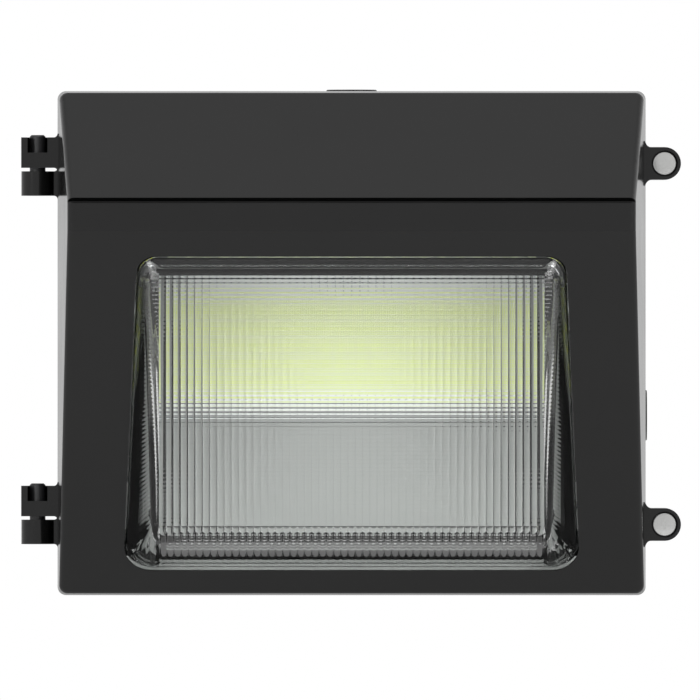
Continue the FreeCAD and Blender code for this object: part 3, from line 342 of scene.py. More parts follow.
def stations(outline, columns, levels):
    """Places round an outline, from the lower left column anticlockwise."""
    bottom = [(x, outline_edge(outline, x, False)) for x in columns]
    top = [(x, outline_edge(outline, x, True)) for x in columns[::-1]]
    right = corner_points(outline, columns[-1], levels[0], False)
    right += [(outline_half(outline, level), level) for level in levels]
    right += corner_points(outline, columns[-1], levels[-1], True)[::-1]
    left = [(-x, level) for x, level in right[::-1]]
    return bottom + right + top + left


def glass_skin(inset, columns, shares, rounds, wall_steps):
    """One skin of the bowl, with the weight of its flutes and ribs at each point."""
    share = inset / glass_wall
    front = shrunk(face_outline, [share * value for value in face_insets], 0.0)
    foot = shrunk(foot_outline, [share * value for value in foot_insets], foot_gap)
    sinks = [share * value for value in foot_sinks]
    low_round, high_round = rounds
    lows = [outline_edge(front, x, False) + low_round for x in columns]
    highs = [outline_edge(front, x, True) - high_round for x in columns]
    levels = [lows[-1] + (highs[-1] - lows[-1]) * share for share in shares[1:-1]]
    foot_start = foot[0] + foot[4]
    foot_span = foot[1] - foot[5] - foot_start
    foot_levels = [foot_start + foot_span * (level - levels[0]) / (levels[-1] - levels[0])
                   for level in levels]
    edge = stations(front, columns, levels)
    base = stations(foot, columns, foot_levels)

    wide = len(columns)
    tall = len(shares)
    points = []
    flutes = list(np.repeat(np.linspace(1.0, flute_top_share, tall), wide))
    ribs = [1.0] * (wide * tall)
    turns = list(np.repeat(np.arange(tall) / rib_steps, wide))
    for share in shares:
        for column, x in enumerate(columns):
            z = lows[column] + (highs[column] - lows[column]) * share
            points.append(face_point(x, z, inset))
    faces = []
    for row in range(tall - 1):
        for column in range(wide - 1):
            first = row * wide + column
            faces.append((first, first + 1, first + wide + 1, first + wide))

    side = tall - 2
    inner_ring = list(range(wide)) + [wide - 1] * corner_steps
    inner_ring += [row * wide + wide - 1 for row in range(1, tall - 1)]
    inner_ring += [tall * wide - 1] * corner_steps
    inner_ring += [(tall - 1) * wide + column for column in reversed(range(wide))]
    inner_ring += [(tall - 1) * wide] * corner_steps
    inner_ring += [row * wide for row in reversed(range(1, tall - 1))]
    inner_ring += [0] * corner_steps
    count = len(edge)
    top_start = wide + 2 * corner_steps + side
    is_bottom = np.zeros(count)
    is_bottom[:wide] = 1.0
    is_top = np.zeros(count)
    is_top[top_start:top_start + wide] = 1.0
    is_side = np.zeros(count)
    side_turns = np.zeros(count)
    side_rows = np.arange(1, tall - 1) / rib_steps
    for start, rows in ((wide + corner_steps, side_rows),
                        (top_start + wide + corner_steps, side_rows[::-1])):
        is_side[start:start + side] = 1.0
        side_turns[start:start + side] = rows

    start_points = np.array([points[index] for index in inner_ring])
    edge_points = np.array([face_point(x, z, inset) for x, z in edge])
    base_points = np.array([slope_point(x, along, -np.interp(along, foot[:2], sinks))
                            for x, along in base])
    reach = np.linalg.norm(edge_points - start_points, axis=1)[:, None]
    down = base_points - edge_points
    length = np.linalg.norm(down, axis=1)[:, None]
    turn_points = edge_points + down / length * np.minimum(reach, length * round_limit)

    rings = []
    if inset == 0:
        middle_points = start_points + np.array((0.0, *facet_middle))
        turn_points[:wide] = start_points[:wide] + np.array((0.0, *facet_end))
    else:
        middle_points = (start_points + 2 * edge_points + turn_points) / 4
    for step in range(round_steps):
        share = (step + 1) / round_steps
        ring = ((1 - share) ** 2 * start_points + 2 * share * (1 - share) * edge_points
                + share ** 2 * turn_points)
        facet = facet_steps[step]
        if facet <= 0.5:
            flat = start_points + (middle_points - start_points) * facet * 2
        else:
            flat = middle_points + (turn_points - middle_points) * (facet * 2 - 1)
        ring[:wide] = flat[:wide]
        rings.append((ring, is_bottom + is_top * (1 - share) * flute_top_share, is_side))
    for share in wall_steps:
        ring = turn_points + (base_points - turn_points) * share
        rings.append((ring, is_bottom * max(1 - share / lip_share, 0.0) * wall_flute_share,
                      is_side * (share <= side_rib_share)))

    before = inner_ring
    for ring, flute_weights, rib_weights in rings:
        first = len(points)
        points.extend(ring)
        flutes.extend(flute_weights)
        ribs.extend(rib_weights)
        turns.extend(side_turns)
        now = list(range(first, first + count))
        faces.extend(ring_faces(before, now))
        before = now
    return points, faces, flutes, ribs, turns, before, base


def ring_faces(before, now):
    """Faces between two rings of the same count, triangles where points meet."""
    faces = []
    count = len(now)
    for index in range(count):
        after = (index + 1) % count
        face = (before[index], now[index], now[after], before[after])
        if before[index] == before[after]:
            face = face[:3]
        faces.append(face)
    return faces


def zip_faces(first, second, places, offset):
    """Triangles between two closed rings of different counts, matched by their angle."""
    def angles(ring):
        turn = np.unwrap(np.arctan2(places[ring][:, 1], places[ring][:, 0]))
        return turn - turn[0]

    one = np.append(angles(first), 2 * math.pi)
    two = np.append(angles(second) + offset, 2 * math.pi + offset)
    faces = []
    i = 0
    j = 0
    while i < len(first) or j < len(second):
        now_one = first[i % len(first)]
        now_two = second[j % len(second)]
        if j >= len(second) or (i < len(first) and one[i + 1] <= two[j + 1]):
            faces.append((now_one, first[(i + 1) % len(first)], now_two))
            i += 1
        else:
            faces.append((now_one, second[(j + 1) % len(second)], now_two))
            j += 1
    return faces


reach = flute_count / 2 * flute_pitch
outer_columns = [-reach + flute_pitch * (flute + (place + 1) / 2)
                 for flute in range(flute_count) for place in flute_places] + [reach]
outer_shares = list(np.linspace(0.0, 1.0, flute_levels))
points, faces, flutes, _, _, outer_ring, outer_base = glass_skin(
    0.0, outer_columns, outer_shares, (flute_low_round, flute_high_round),
    (0.02, 0.35, lip_share, lip_edge, 1.0))
ribs = [0.0] * len(points)
turns = [0.0] * len(points)


def add_ring(ring_points):
    """Adds a ring joined to the last one of the same skin."""
    first = len(points)
    points.extend(ring_points)
    flutes.extend([0.0] * len(ring_points))
    ribs.extend([0.0] * len(ring_points))
    turns.extend([0.0] * len(ring_points))
    return list(range(first, first + len(ring_points)))


outer_places = np.array(outer_base)
tangent = np.roll(outer_places, -1, axis=0) - np.roll(outer_places, 1, axis=0)
outward = np.stack((tangent[:, 1], -tangent[:, 0]), axis=1)
outward /= np.linalg.norm(outward, axis=1)[:, None]
grown = outer_places + outward * flange_width
last = outer_ring
for places, level in ((outer_places, flange_front), (grown, flange_front), (grown, flange_back)):
    now = add_ring([slope_point(x, along, level) for x, along in places])
    faces.extend(ring_faces(last, now))
    last = now
outer_last = last

inner_columns = list(np.linspace(-inner_reach, inner_reach, inner_column_count))
rib_rows = rib_count * rib_steps
inner_shares = list(np.linspace(0.0, 1.0, rib_rows + 1))
inner_points, inner_faces, _, inner_ribs, inner_turns, inner_ring, inner_base = glass_skin(
    glass_wall, inner_columns, inner_shares, (rib_low_round, rib_high_round),
    (0.25, 0.5, side_rib_share, side_rib_share + 0.02, 1.0))
shift = len(points)
points.extend(inner_points)
flutes.extend([0.0] * len(inner_points))
ribs.extend(inner_ribs)
turns.extend(inner_turns)
faces.extend(tuple(index + shift for index in face) for face in inner_faces)
last = [index + shift for index in inner_ring]
now = add_ring([slope_point(x, along, flange_back) for x, along in inner_base])
faces.extend(ring_faces(last, now))
flat = np.zeros((len(points), 2))
centre_along = (foot_outline[0] + foot_outline[1]) / 2
for ring, places in ((outer_last, grown), (now, np.array(inner_base))):
    flat[ring] = places - np.array((0.0, centre_along))
start_one = math.atan2(flat[outer_last[0]][1], flat[outer_last[0]][0])
start_two = math.atan2(flat[now[0]][1], flat[now[0]][0])
faces.extend(zip_faces(outer_last, now, flat, start_two - start_one))

glass_mesh = bpy.data.meshes.new("glass bowl")
glass_mesh.from_pydata([tuple(point * 0.001) for point in points], [], faces)
glass_shape = bmesh.new()
glass_shape.from_mesh(glass_mesh)
bmesh.ops.recalc_face_normals(glass_shape, faces=glass_shape.faces)
glass_shape.to_mesh(glass_mesh)
glass_shape.free()
for name, weights in (("flute", flutes), ("rib", ribs), ("turn", turns)):
    attribute = glass_mesh.attributes.new(name, "FLOAT", "POINT")
    attribute.data.foreach_set("value", np.array(weights, dtype=np.float32))
glass = bpy.data.objects.new("glass_bowl", glass_mesh)
bpy.context.collection.objects.link(glass)


def new_tree(name, inputs):
    """Geometry node tree with a geometry socket at each end and named number inputs."""
    tree = bpy.data.node_groups.new(name, "GeometryNodeTree")
    tree.interface.new_socket("Geometry", in_out="INPUT", socket_type="NodeSocketGeometry")
    tree.interface.new_socket("Geometry", in_out="OUTPUT", socket_type="NodeSocketGeometry")
    for label, value in inputs:
        kind = "NodeSocketInt" if isinstance(value, int) else "NodeSocketFloat"
        socket = tree.interface.new_socket(label, in_out="INPUT", socket_type=kind)
        socket.default_value = value
    return tree, tree.nodes.new("NodeGroupInput"), tree.nodes.new("NodeGroupOutput")


def bake(obj, tree, values):
    """Runs a node tree on an object and keeps the result as its mesh."""
    modifier = obj.modifiers.new(tree.name, "NODES")
    modifier.node_group = tree
    for item in tree.interface.items_tree:
        if item.in_out == "INPUT" and item.name in values:
            modifier[item.identifier] = values[item.name]
    shown = obj.evaluated_get(bpy.context.evaluated_depsgraph_get())
    mesh = bpy.data.meshes.new_from_object(shown)
    obj.modifiers.clear()
    obj.data = mesh
    return obj


def ridge_side(tree, turns):
    """Square of the place between two valleys of a row of ridges, 0 at the crest."""
    side = calc(tree, "MULTIPLY_ADD", calc(tree, "FRACT", turns), 2.0, -1.0)
    return calc(tree, "MULTIPLY", side, side)


glass_clear = bpy.data.materials.new("pressed glass")
pressing, start, end = new_tree("pressed ridges", [
    ("Flute Pitch", 0.003), ("Flute Radius", 0.002), ("Rib Depth", 0.0001)])
spot = put(pressing, "ShaderNodeSeparateXYZ",
           inputs={0: put(pressing, "GeometryNodeInputPosition").outputs[0]})
flute, rib, turn = (
    put(pressing, "GeometryNodeInputNamedAttribute", {"data_type": "FLOAT"},
        {"Name": name}).outputs[0] for name in ("flute", "rib", "turn"))
pitch = start.outputs["Flute Pitch"]
radius = start.outputs["Flute Radius"]
across = ridge_side(pressing, calc(pressing, "MULTIPLY_ADD", spot.outputs["X"],
                                   calc(pressing, "DIVIDE", 1.0, pitch), 0.5))
half_pitch = calc(pressing, "MULTIPLY", pitch, 0.5)
reach_squared = calc(pressing, "MULTIPLY", across, calc(pressing, "POWER", half_pitch, 2.0))
radius_squared = calc(pressing, "POWER", radius, 2.0)
flute_drop = calc(pressing, "SUBTRACT", radius, calc(
    pressing, "SQRT", calc(pressing, "SUBTRACT", radius_squared, reach_squared)))
rib_drop = calc(pressing, "MULTIPLY", ridge_side(pressing, turn), start.outputs["Rib Depth"])
drop = calc(pressing, "ADD", calc(pressing, "MULTIPLY", flute_drop, flute),
            calc(pressing, "MULTIPLY", rib_drop, rib))
push = put(pressing, "ShaderNodeVectorMath", {"operation": "SCALE"},
           {0: put(pressing, "GeometryNodeInputNormal").outputs[0],
            "Scale": calc(pressing, "MULTIPLY", drop, -1.0)})
moved = put(pressing, "GeometryNodeSetPosition",
            inputs={"Geometry": start.outputs["Geometry"], "Offset": push.outputs[0]})
smooth = put(pressing, "GeometryNodeSetShadeSmooth", inputs={"Geometry": moved.outputs[0]})
whole = put(pressing, "GeometryNodeRealizeInstances", inputs={0: smooth.outputs[0]})
painted = put(pressing, "GeometryNodeSetMaterial",
              inputs={"Geometry": whole.outputs[0], "Material": glass_clear})
pressing.links.new(painted.outputs[0], end.inputs[0])
bake(glass, pressing, {
    "Flute Pitch": flute_pitch * 0.001, "Flute Radius": flute_radius * 0.001,
    "Rib Depth": rib_depth * 0.001})
glass.data.set_sharp_from_angle(angle=math.radians(30.0))

# clear soda glass with the faint waviness of a pressed surface; lamp light
# and light from the board pass through it unbent
glass_clear.use_nodes = True
tree = glass_clear.node_tree
shader = tree.nodes["Principled BSDF"]
place = put(tree, "ShaderNodeTexCoord").outputs["Object"]
wave = put(tree, "ShaderNodeTexNoise",
           inputs={"Vector": place, "Scale": 160.0, "Detail": 3.0}).outputs["Fac"]
relief = put(tree, "ShaderNodeBump",
             inputs={"Strength": 0.12, "Distance": 0.0001, "Height": wave})
tint = ramp(tree, wave, [(0.3, (0.975, 0.99, 0.985)), (0.7, (0.99, 0.995, 0.993))])
tree.links.new(tint, shader.inputs["Base Color"])
tree.links.new(relief.outputs["Normal"], shader.inputs["Normal"])
shader.inputs["Roughness"].default_value = 0.01
shader.inputs["IOR"].default_value = 1.5
shader.inputs["Transmission Weight"].default_value = 1.0
path = put(tree, "ShaderNodeLightPath")
passing = calc(tree, "MAXIMUM", path.outputs["Is Shadow Ray"], path.outputs["Is Diffuse Ray"])
clear = put(tree, "ShaderNodeBsdfTransparent", inputs={"Color": (0.93, 0.95, 0.94, 1.0)})
mixed = put(tree, "ShaderNodeMixShader",
            inputs={0: passing, 1: shader.outputs[0], 2: clear.outputs[0]})
tree.links.new(mixed.outputs[0], tree.nodes["Material Output"].inputs["Surface"])
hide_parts("glass_refractor")
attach(glass, "cover")

# ------------------------------------------- seals, grommet and moulded parts
# The cover's gasket, the glass seal, the rings under the plugs and the lead
# grommet are matt silicone. Retainers and the board's connector are nylon, and
# the closure plugs are moulded in black plastic with a fine eroded grain.
moulding, start, end = new_group(
    "moulding",
    [("Tone", (0.02, 0.02, 0.02, 1.0)), ("Shade", (0.03, 0.03, 0.03, 1.0)),
     ("Gloss", 0.5), ("Grain Size", 1500.0)],
    SURFACE_OUTPUTS)
place = put(moulding, "ShaderNodeTexCoord").outputs["Object"]
flow = put(moulding, "ShaderNodeTexNoise",
           inputs={"Vector": place, "Scale": 60.0, "Detail": 4.0,
                   "Distortion": 0.6}).outputs["Fac"]
grain = put(moulding, "ShaderNodeTexVoronoi",
            inputs={"Vector": place, "Scale": start.outputs["Grain Size"]}).outputs["Distance"]
shade = put(moulding, "ShaderNodeMix", {"data_type": "RGBA"},
            {0: calc(moulding, "MULTIPLY_ADD", grain, 0.35, calc(moulding, "POWER", flow, 2.0)),
             6: start.outputs["Tone"], 7: start.outputs["Shade"]})
moulding.links.new(shade.outputs[2], end.inputs["Color"])
moulding.links.new(calc(moulding, "MULTIPLY_ADD", calc(moulding, "SUBTRACT", flow, 0.5), 0.2,
                        start.outputs["Gloss"]), end.inputs["Roughness"])
moulding.links.new(calc(moulding, "MULTIPLY_ADD", grain, 0.6, flow), end.inputs["Height"])

black_silicone = surface("black silicone", moulding, {"Gloss": 0.58, "Grain Size": 1100.0},
                         (0.35, 0.00006), {"IOR": 1.42})
dress(black_silicone, "lens_gasket", "cover_gasket", "top_plug_seal", "side_plug_seal",
      "lead_grommet")
black_plug = surface("black plug", moulding,
                     {"Tone": (0.008, 0.008, 0.008, 1.0), "Shade": (0.016, 0.016, 0.016, 1.0),
                      "Gloss": 0.36, "Grain Size": 1900.0}, (0.3, 0.00005), {"IOR": 1.5})
dress(black_plug, "top_entry_plug", "side_entry_plug")
white_nylon = surface("white nylon", moulding,
                      {"Tone": (0.76, 0.75, 0.70, 1.0), "Shade": (0.66, 0.65, 0.60, 1.0),
                       "Gloss": 0.45}, (0.2, 0.00005), {"IOR": 1.53})
dress(white_nylon, "screw_retainer_upper", "screw_retainer_lower", "board_connector")

# ----------------------------------------------- screws, clips, rings and pins
# Bright cover screws and washers sit in the right ears. Zinc screws hold the
# tray, driver, board and clips, the clips and retaining rings are spring steel,
# and the hinge pins are blackened. Turning and rolling leave fine lines in them.
metalwork, start, end = new_group(
    "worked metal",
    [("Metal", (0.6, 0.6, 0.6, 1.0)), ("Tarnish", (0.45, 0.44, 0.43, 1.0)),
     ("Gloss", 0.3), ("Line Size", 900.0)],
    SURFACE_OUTPUTS)
place = put(metalwork, "ShaderNodeTexCoord").outputs["Object"]
cloud = put(metalwork, "ShaderNodeTexNoise",
            inputs={"Vector": place, "Scale": 75.0, "Detail": 5.0}).outputs["Fac"]
stretched = put(metalwork, "ShaderNodeMapping", {"vector_type": "POINT"},
                {"Vector": place, "Scale": (1.0, 1.0, 14.0)}).outputs[0]
line = put(metalwork, "ShaderNodeTexNoise",
           inputs={"Vector": stretched, "Scale": start.outputs["Line Size"],
                   "Detail": 2.0}).outputs["Fac"]
shade = put(metalwork, "ShaderNodeMix", {"data_type": "RGBA"},
            {0: calc(metalwork, "MULTIPLY_ADD", line, 0.3,
                     calc(metalwork, "POWER", cloud, 2.5)),
             6: start.outputs["Metal"], 7: start.outputs["Tarnish"]})
metalwork.links.new(shade.outputs[2], end.inputs["Color"])
rough = calc(metalwork, "MULTIPLY_ADD", calc(metalwork, "SUBTRACT", cloud, 0.5), 0.18,
             start.outputs["Gloss"])
metalwork.links.new(calc(metalwork, "MULTIPLY_ADD", calc(metalwork, "SUBTRACT", line, 0.5),
                         0.1, rough), end.inputs["Roughness"])
metalwork.links.new(calc(metalwork, "MULTIPLY_ADD", line, 0.5, cloud), end.inputs["Height"])

bright_steel = surface("bright steel", metalwork,
                       {"Metal": (0.78, 0.78, 0.77, 1.0), "Tarnish": (0.62, 0.62, 0.61, 1.0),
                        "Gloss": 0.2}, (0.15, 0.00003), {"Metallic": 1.0})
dress(bright_steel, "cover_screw_upper", "cover_screw_lower", "cover_screw_washers")
zinc_screw = surface("zinc screw", metalwork,
                     {"Metal": (0.64, 0.66, 0.68, 1.0), "Tarnish": (0.47, 0.48, 0.47, 1.0),
                      "Gloss": 0.3}, (0.2, 0.00003), {"Metallic": 1.0})
dress(zinc_screw, "lens_clip_screws", "led_tray_screws", "led_board_screws", "driver_screws")
spring_steel = surface("spring steel", metalwork,
                       {"Metal": (0.50, 0.51, 0.53, 1.0), "Tarnish": (0.33, 0.32, 0.31, 1.0),
                        "Gloss": 0.27}, (0.2, 0.00003), {"Metallic": 1.0})
dress(spring_steel, "lens_clips", "hinge_retaining_rings")
black_pin = surface("black pin", coating,
                    {"Paint": (0.012, 0.012, 0.013, 1.0), "Haze": (0.03, 0.03, 0.032, 1.0),
                     "Gloss": 0.34, "Peel Size": 900.0}, (0.2, 0.00004), {"IOR": 1.6})
dress(black_pin, "hinge_pin_upper", "hinge_pin_lower")

# -------------------------------------------------------- tray and thermal pad
# A folded aluminium tray, powder coated grey, stands on four posts behind the
# glass. A soft pad between it and the LED board carries the heat away; it is coloured near-black
# as painted shadow, so its edge at the board reads as a shadowed gap.
tray_paint = surface("tray paint", coating,
                     {"Paint": (0.34, 0.34, 0.335, 1.0), "Haze": (0.42, 0.42, 0.41, 1.0),
                      "Gloss": 0.42, "Peel Size": 700.0}, (0.35, 0.00008), {"IOR": 1.45})
dress(tray_paint, "led_tray")
# painted shadow: the pad's near-black colour stands in for the shade in the gap at the board's
# edge
shade_dark_pad = surface("pad darkened as shadow", moulding,
                   {"Tone": (0.03, 0.03, 0.032, 1.0), "Shade": (0.05, 0.05, 0.052, 1.0),
                    "Gloss": 0.75, "Grain Size": 800.0}, (0.4, 0.0001), {"IOR": 1.4})
dress(shade_dark_pad, "thermal_pad")

# -------------------------------------------------------- LED board and its LEDs
# An aluminium circuit board with a white mask over square copper pads. Round the LED rows
# the mask is tinted yellow-green as painted glow from the phosphor, and a dark band along its
# lower edge is painted shadow. Each pad carries an LED: a white ceramic package with a domed
# square of yellow phosphor, given a faint painted glow.
led_columns = 20
led_rows = 6
led_pitch_x = 8.4
led_pitch_z = 8.2
led_middle = -1.5
board_front = 90.2
board_low = -33.4
package_half = 2.3
package_edge = 0.25
phosphor_half = 2.05
phosphor_top = 0.72
phosphor_base = 0.5
edge_shadow_band = 1.7
glow_tint_start = 21.0
glow_tint_end = 26.0
glow_tint_strength = 0.85

printed, start, end = new_group(
    "printed board",
    [("Mask", (0.8, 0.8, 0.8, 1.0)), ("Gap", (0.6, 0.6, 0.6, 1.0)),
     ("Pad Width", 0.0084), ("Pad Height", 0.0082), ("Gap Share", 0.04), ("Gloss", 0.35)],
    SURFACE_OUTPUTS)
place = put(printed, "ShaderNodeTexCoord").outputs["Object"]
spot = put(printed, "ShaderNodeSeparateXYZ", inputs={0: place})
away = [calc(printed, "PINGPONG", calc(printed, "DIVIDE", spot.outputs[axis],
                                       start.outputs[size]), 0.5)
        for axis, size in (("X", "Pad Width"), ("Z", "Pad Height"))]
gap = calc(printed, "LESS_THAN", calc(printed, "MINIMUM", *away), start.outputs["Gap Share"])
fleck = put(printed, "ShaderNodeTexNoise",
            inputs={"Vector": place, "Scale": 420.0, "Detail": 4.0}).outputs["Fac"]
tone = put(printed, "ShaderNodeMix", {"data_type": "RGBA"},
           {0: calc(printed, "MULTIPLY_ADD", gap, 0.75, calc(printed, "MULTIPLY", fleck, 0.25)),
            6: start.outputs["Mask"], 7: start.outputs["Gap"]})
printed.links.new(tone.outputs[2], end.inputs["Color"])
printed.links.new(calc(printed, "MULTIPLY_ADD", fleck, 0.15, start.outputs["Gloss"]),
                  end.inputs["Roughness"])
printed.links.new(calc(printed, "SUBTRACT", calc(printed, "MULTIPLY", fleck, 0.2), gap),
                  end.inputs["Height"])

board_mask = surface("board mask", printed,
                     {"Mask": (0.93, 0.93, 0.92, 1.0), "Gap": (0.84, 0.84, 0.81, 1.0)},
                     (0.4, 0.00004), {"IOR": 1.5})
tree = board_mask.node_tree
shader = tree.nodes["Principled BSDF"]
printed_colour = shader.inputs["Base Color"].links[0].from_socket
height = put(tree, "ShaderNodeSeparateXYZ",
             inputs={0: put(tree, "ShaderNodeTexCoord").outputs["Object"]}).outputs["Z"]
# painted shadow: a near-black band along the board's lower edge stands in for the shadowed gap
# below it
line = calc(tree, "LESS_THAN", height, (board_low + edge_shadow_band) * 0.001)
edge_shadowed = put(tree, "ShaderNodeMix", {"data_type": "RGBA"},
            {0: line, 6: printed_colour, 7: (0.012, 0.012, 0.012, 1.0)})
# painted glow: the mask is tinted yellow-green near the LED rows, fading out past them, as if
# lit by the phosphor
away = calc(tree, "ABSOLUTE", calc(tree, "SUBTRACT", height, led_middle * 0.001))
glow_tint = put(tree, "ShaderNodeMapRange",
            inputs={"Value": away, "From Min": glow_tint_start * 0.001,
                    "From Max": glow_tint_end * 0.001, "To Min": glow_tint_strength, "To Max": 0.0})
glow_tinted = put(tree, "ShaderNodeMix", {"data_type": "RGBA", "blend_type": "MULTIPLY"},
              {0: glow_tint.outputs[0], 6: edge_shadowed.outputs[2], 7: (0.88, 0.94, 0.66, 1.0)})
tree.links.new(glow_tinted.outputs[2], shader.inputs["Base Color"])
dress(board_mask, "led_board")

# one package in metres, facing forwards, its foot at the board's face
led_shape = bmesh.new()


def square_ring(half, corner, level):
    """Eight corners of a square with cut corners at a height over the board."""
    near = half - corner
    spots = [(-near, -half), (near, -half), (half, -near), (half, near),
             (near, half), (-near, half), (-half, near), (-half, -near)]
    return [led_shape.verts.new((x * 0.001, -level * 0.001, z * 0.001)) for x, z in spots]


levels = [square_ring(package_half, package_edge, 0.0),
          square_ring(package_half, package_edge, phosphor_base - 0.12),
          square_ring(package_half - 0.12, package_edge, phosphor_base),
          square_ring(phosphor_half, 0.3, phosphor_base),
          square_ring(phosphor_half - 0.25, 0.35, phosphor_top - 0.08),
          square_ring(phosphor_half * 0.55, 0.4, phosphor_top)]
for low_ring, high_ring in zip(levels[:-1], levels[1:]):
    for corner in range(8):
        following = (corner + 1) % 8
        led_shape.faces.new((low_ring[corner], low_ring[following],
                             high_ring[following], high_ring[corner]))
led_shape.faces.new(levels[0][::-1])
led_shape.faces.new(levels[-1])
bmesh.ops.recalc_face_normals(led_shape, faces=led_shape.faces)
led_mesh = bpy.data.meshes.new("LED")
led_shape.to_mesh(led_mesh)
led_shape.free()
lit = led_mesh.attributes.new("phosphor", "FLOAT", "POINT")
lit.data.foreach_set("value", [0.0] * 24 + [1.0] * 24)
leds = bpy.data.objects.new("led_packages", led_mesh)
bpy.context.collection.objects.link(leds)

led_material = bpy.data.materials.new("LED package")
placing, start, end = new_tree("rows of LEDs", [
    ("Columns", 20), ("Rows", 6), ("Pitch X", 0.0084), ("Pitch Z", 0.0082),
    ("Depth", 0.09), ("Middle Z", 0.0), ("Turn", 0.02), ("Seed", 7)])
spans = [calc(placing, "MULTIPLY", calc(placing, "SUBTRACT", start.outputs[count], 1.0),
              start.outputs[pitch])
         for count, pitch in (("Columns", "Pitch X"), ("Rows", "Pitch Z"))]
grid = put(placing, "GeometryNodeMeshGrid",
           inputs={"Size X": spans[0], "Size Y": spans[1],
                   "Vertices X": start.outputs["Columns"],
                   "Vertices Y": start.outputs["Rows"]})
board_place = put(placing, "ShaderNodeCombineXYZ",
                  inputs={"Y": calc(placing, "MULTIPLY", start.outputs["Depth"], -1.0),
                          "Z": start.outputs["Middle Z"]})
standing = put(placing, "GeometryNodeTransform",
               inputs={"Geometry": grid.outputs["Mesh"],
                       "Translation": board_place.outputs[0],
                       "Rotation": (math.pi / 2, 0.0, 0.0)})
swing = put(placing, "FunctionNodeRandomValue", {"data_type": "FLOAT"},
            {2: calc(placing, "MULTIPLY", start.outputs["Turn"], -1.0),
             3: start.outputs["Turn"], "Seed": start.outputs["Seed"]}).outputs[1]
facing = put(placing, "ShaderNodeCombineXYZ", inputs={"Y": swing})
rows = put(placing, "GeometryNodeInstanceOnPoints",
           inputs={"Points": standing.outputs[0], "Instance": start.outputs["Geometry"],
                   "Rotation": facing.outputs[0]})
whole = put(placing, "GeometryNodeRealizeInstances", inputs={0: rows.outputs[0]})
painted = put(placing, "GeometryNodeSetMaterial",
              inputs={"Geometry": whole.outputs[0], "Material": led_material})
placing.links.new(painted.outputs[0], end.inputs[0])
bake(leds, placing, {
    "Columns": led_columns, "Rows": led_rows, "Pitch X": led_pitch_x * 0.001,
    "Pitch Z": led_pitch_z * 0.001, "Depth": board_front * 0.001,
    "Middle Z": led_middle * 0.001, "Turn": 0.02, "Seed": 7})

led_material.use_nodes = True
tree = led_material.node_tree
shader = tree.nodes["Principled BSDF"]
place = put(tree, "ShaderNodeTexCoord").outputs["Object"]
powder = put(tree, "ShaderNodeTexNoise",
             inputs={"Vector": place, "Scale": 2400.0, "Detail": 3.0}).outputs["Fac"]
lit = put(tree, "ShaderNodeAttribute", {"attribute_name": "phosphor"}).outputs["Fac"]
phosphor = ramp(tree, powder, [(0.3, (0.66, 0.76, 0.06)), (0.7, (0.78, 0.86, 0.10))])
ceramic = ramp(tree, powder, [(0.3, (0.78, 0.78, 0.76)), (0.7, (0.86, 0.86, 0.84))])
tone = put(tree, "ShaderNodeMix", {"data_type": "RGBA"}, {0: lit, 6: ceramic, 7: phosphor})
# painted glow: the unlit phosphor squares are given a faint emission in their own colour
painted_glow = put(tree, "ShaderNodeMix", {"data_type": "RGBA"},
           {0: lit, 6: (0.0, 0.0, 0.0, 1.0), 7: phosphor})
relief = put(tree, "ShaderNodeBump", inputs={"Strength": 0.3, "Distance": 0.00003,
                                             "Height": powder})
tree.links.new(tone.outputs[2], shader.inputs["Base Color"])
tree.links.new(painted_glow.outputs[2], shader.inputs["Emission Color"])
tree.links.new(relief.outputs["Normal"], shader.inputs["Normal"])
shader.inputs["Emission Strength"].default_value = 0.2
shader.inputs["Roughness"].default_value = 0.35
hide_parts("led_emitters")
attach(leds, "housing")

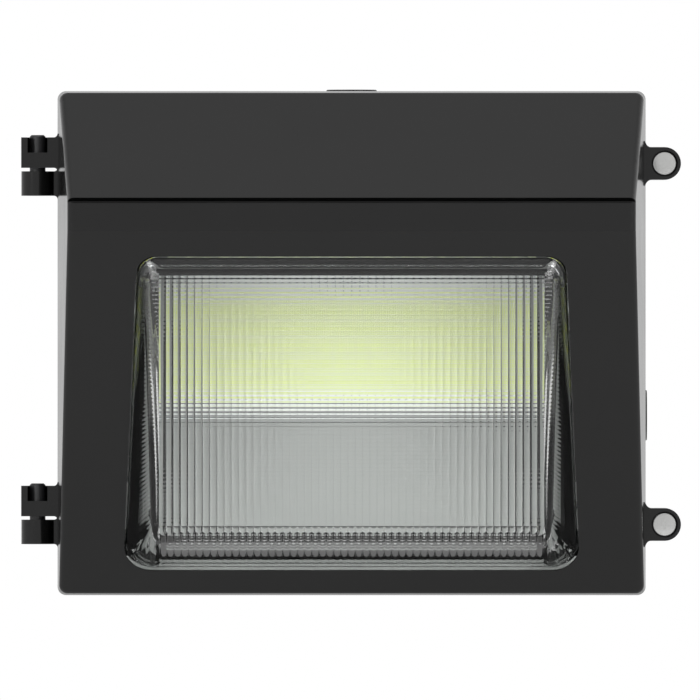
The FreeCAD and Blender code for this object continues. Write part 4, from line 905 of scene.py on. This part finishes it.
# ----------------------------------------------------------------- LED driver
# A drawn aluminium case with a crimped lid holds the driver's laminate board
# and its dark moulded components. Its ears are screwed to the housing's back wall.
driver_aluminium = surface("driver aluminium", metalwork,
                           {"Metal": (0.70, 0.71, 0.72, 1.0),
                            "Tarnish": (0.55, 0.56, 0.57, 1.0), "Gloss": 0.38,
                            "Line Size": 300.0}, (0.3, 0.00004), {"Metallic": 1.0})
dress(driver_aluminium, "driver_case", "driver_lid")
circuit_laminate = surface("circuit laminate", printed,
                           {"Mask": (0.03, 0.12, 0.05, 1.0), "Gap": (0.06, 0.20, 0.08, 1.0),
                            "Pad Width": 0.0031, "Pad Height": 0.0027, "Gap Share": 0.2},
                           (0.4, 0.00004), {"IOR": 1.5})
dress(circuit_laminate, "driver_circuit_board")
component_case = surface("component case", moulding,
                         {"Tone": (0.02, 0.02, 0.022, 1.0), "Shade": (0.05, 0.05, 0.055, 1.0),
                          "Gloss": 0.42}, (0.25, 0.00005), {"IOR": 1.5})
dress(component_case, "driver_components")

# ---------------------------------------------------- leads, ground and nuts
# Stranded leads in coloured insulation run from the driver to the board and to
# screw-on connectors for the supply. The ground lead runs from a tinned brass tag
# under the green ground screw to a third connector.
lead_colours = (
    ("red lead", "output_lead_positive", (0.42, 0.012, 0.010), (0.50, 0.03, 0.02)),
    ("black lead", "output_lead_negative", (0.010, 0.010, 0.010), (0.02, 0.02, 0.02)),
    ("line lead", "supply_lead_line", (0.012, 0.012, 0.012), (0.022, 0.022, 0.022)),
    ("white lead", "supply_lead_neutral", (0.74, 0.73, 0.70), (0.64, 0.63, 0.59)),
    ("green lead", "ground_lead", (0.015, 0.20, 0.04), (0.03, 0.27, 0.07)),
    ("orange nuts", "wire_connectors", (0.78, 0.16, 0.015), (0.66, 0.12, 0.01)))
for name, node, tone, shade in lead_colours:
    insulation = surface(name, moulding, {"Tone": (*tone, 1.0), "Shade": (*shade, 1.0),
                                          "Gloss": 0.4, "Grain Size": 1300.0},
                         (0.25, 0.00005), {"IOR": 1.5})
    dress(insulation, node)
tinned_brass = surface("tinned brass", metalwork,
                       {"Metal": (0.74, 0.71, 0.60, 1.0), "Tarnish": (0.58, 0.52, 0.38, 1.0),
                        "Gloss": 0.3}, (0.2, 0.00003), {"Metallic": 1.0})
dress(tinned_brass, "ground_tag")
green_screw = surface("green screw", metalwork,
                      {"Metal": (0.10, 0.42, 0.16, 1.0), "Tarnish": (0.07, 0.28, 0.11, 1.0),
                       "Gloss": 0.32}, (0.2, 0.00003), {"Metallic": 1.0})
dress(green_screw, "ground_screw")
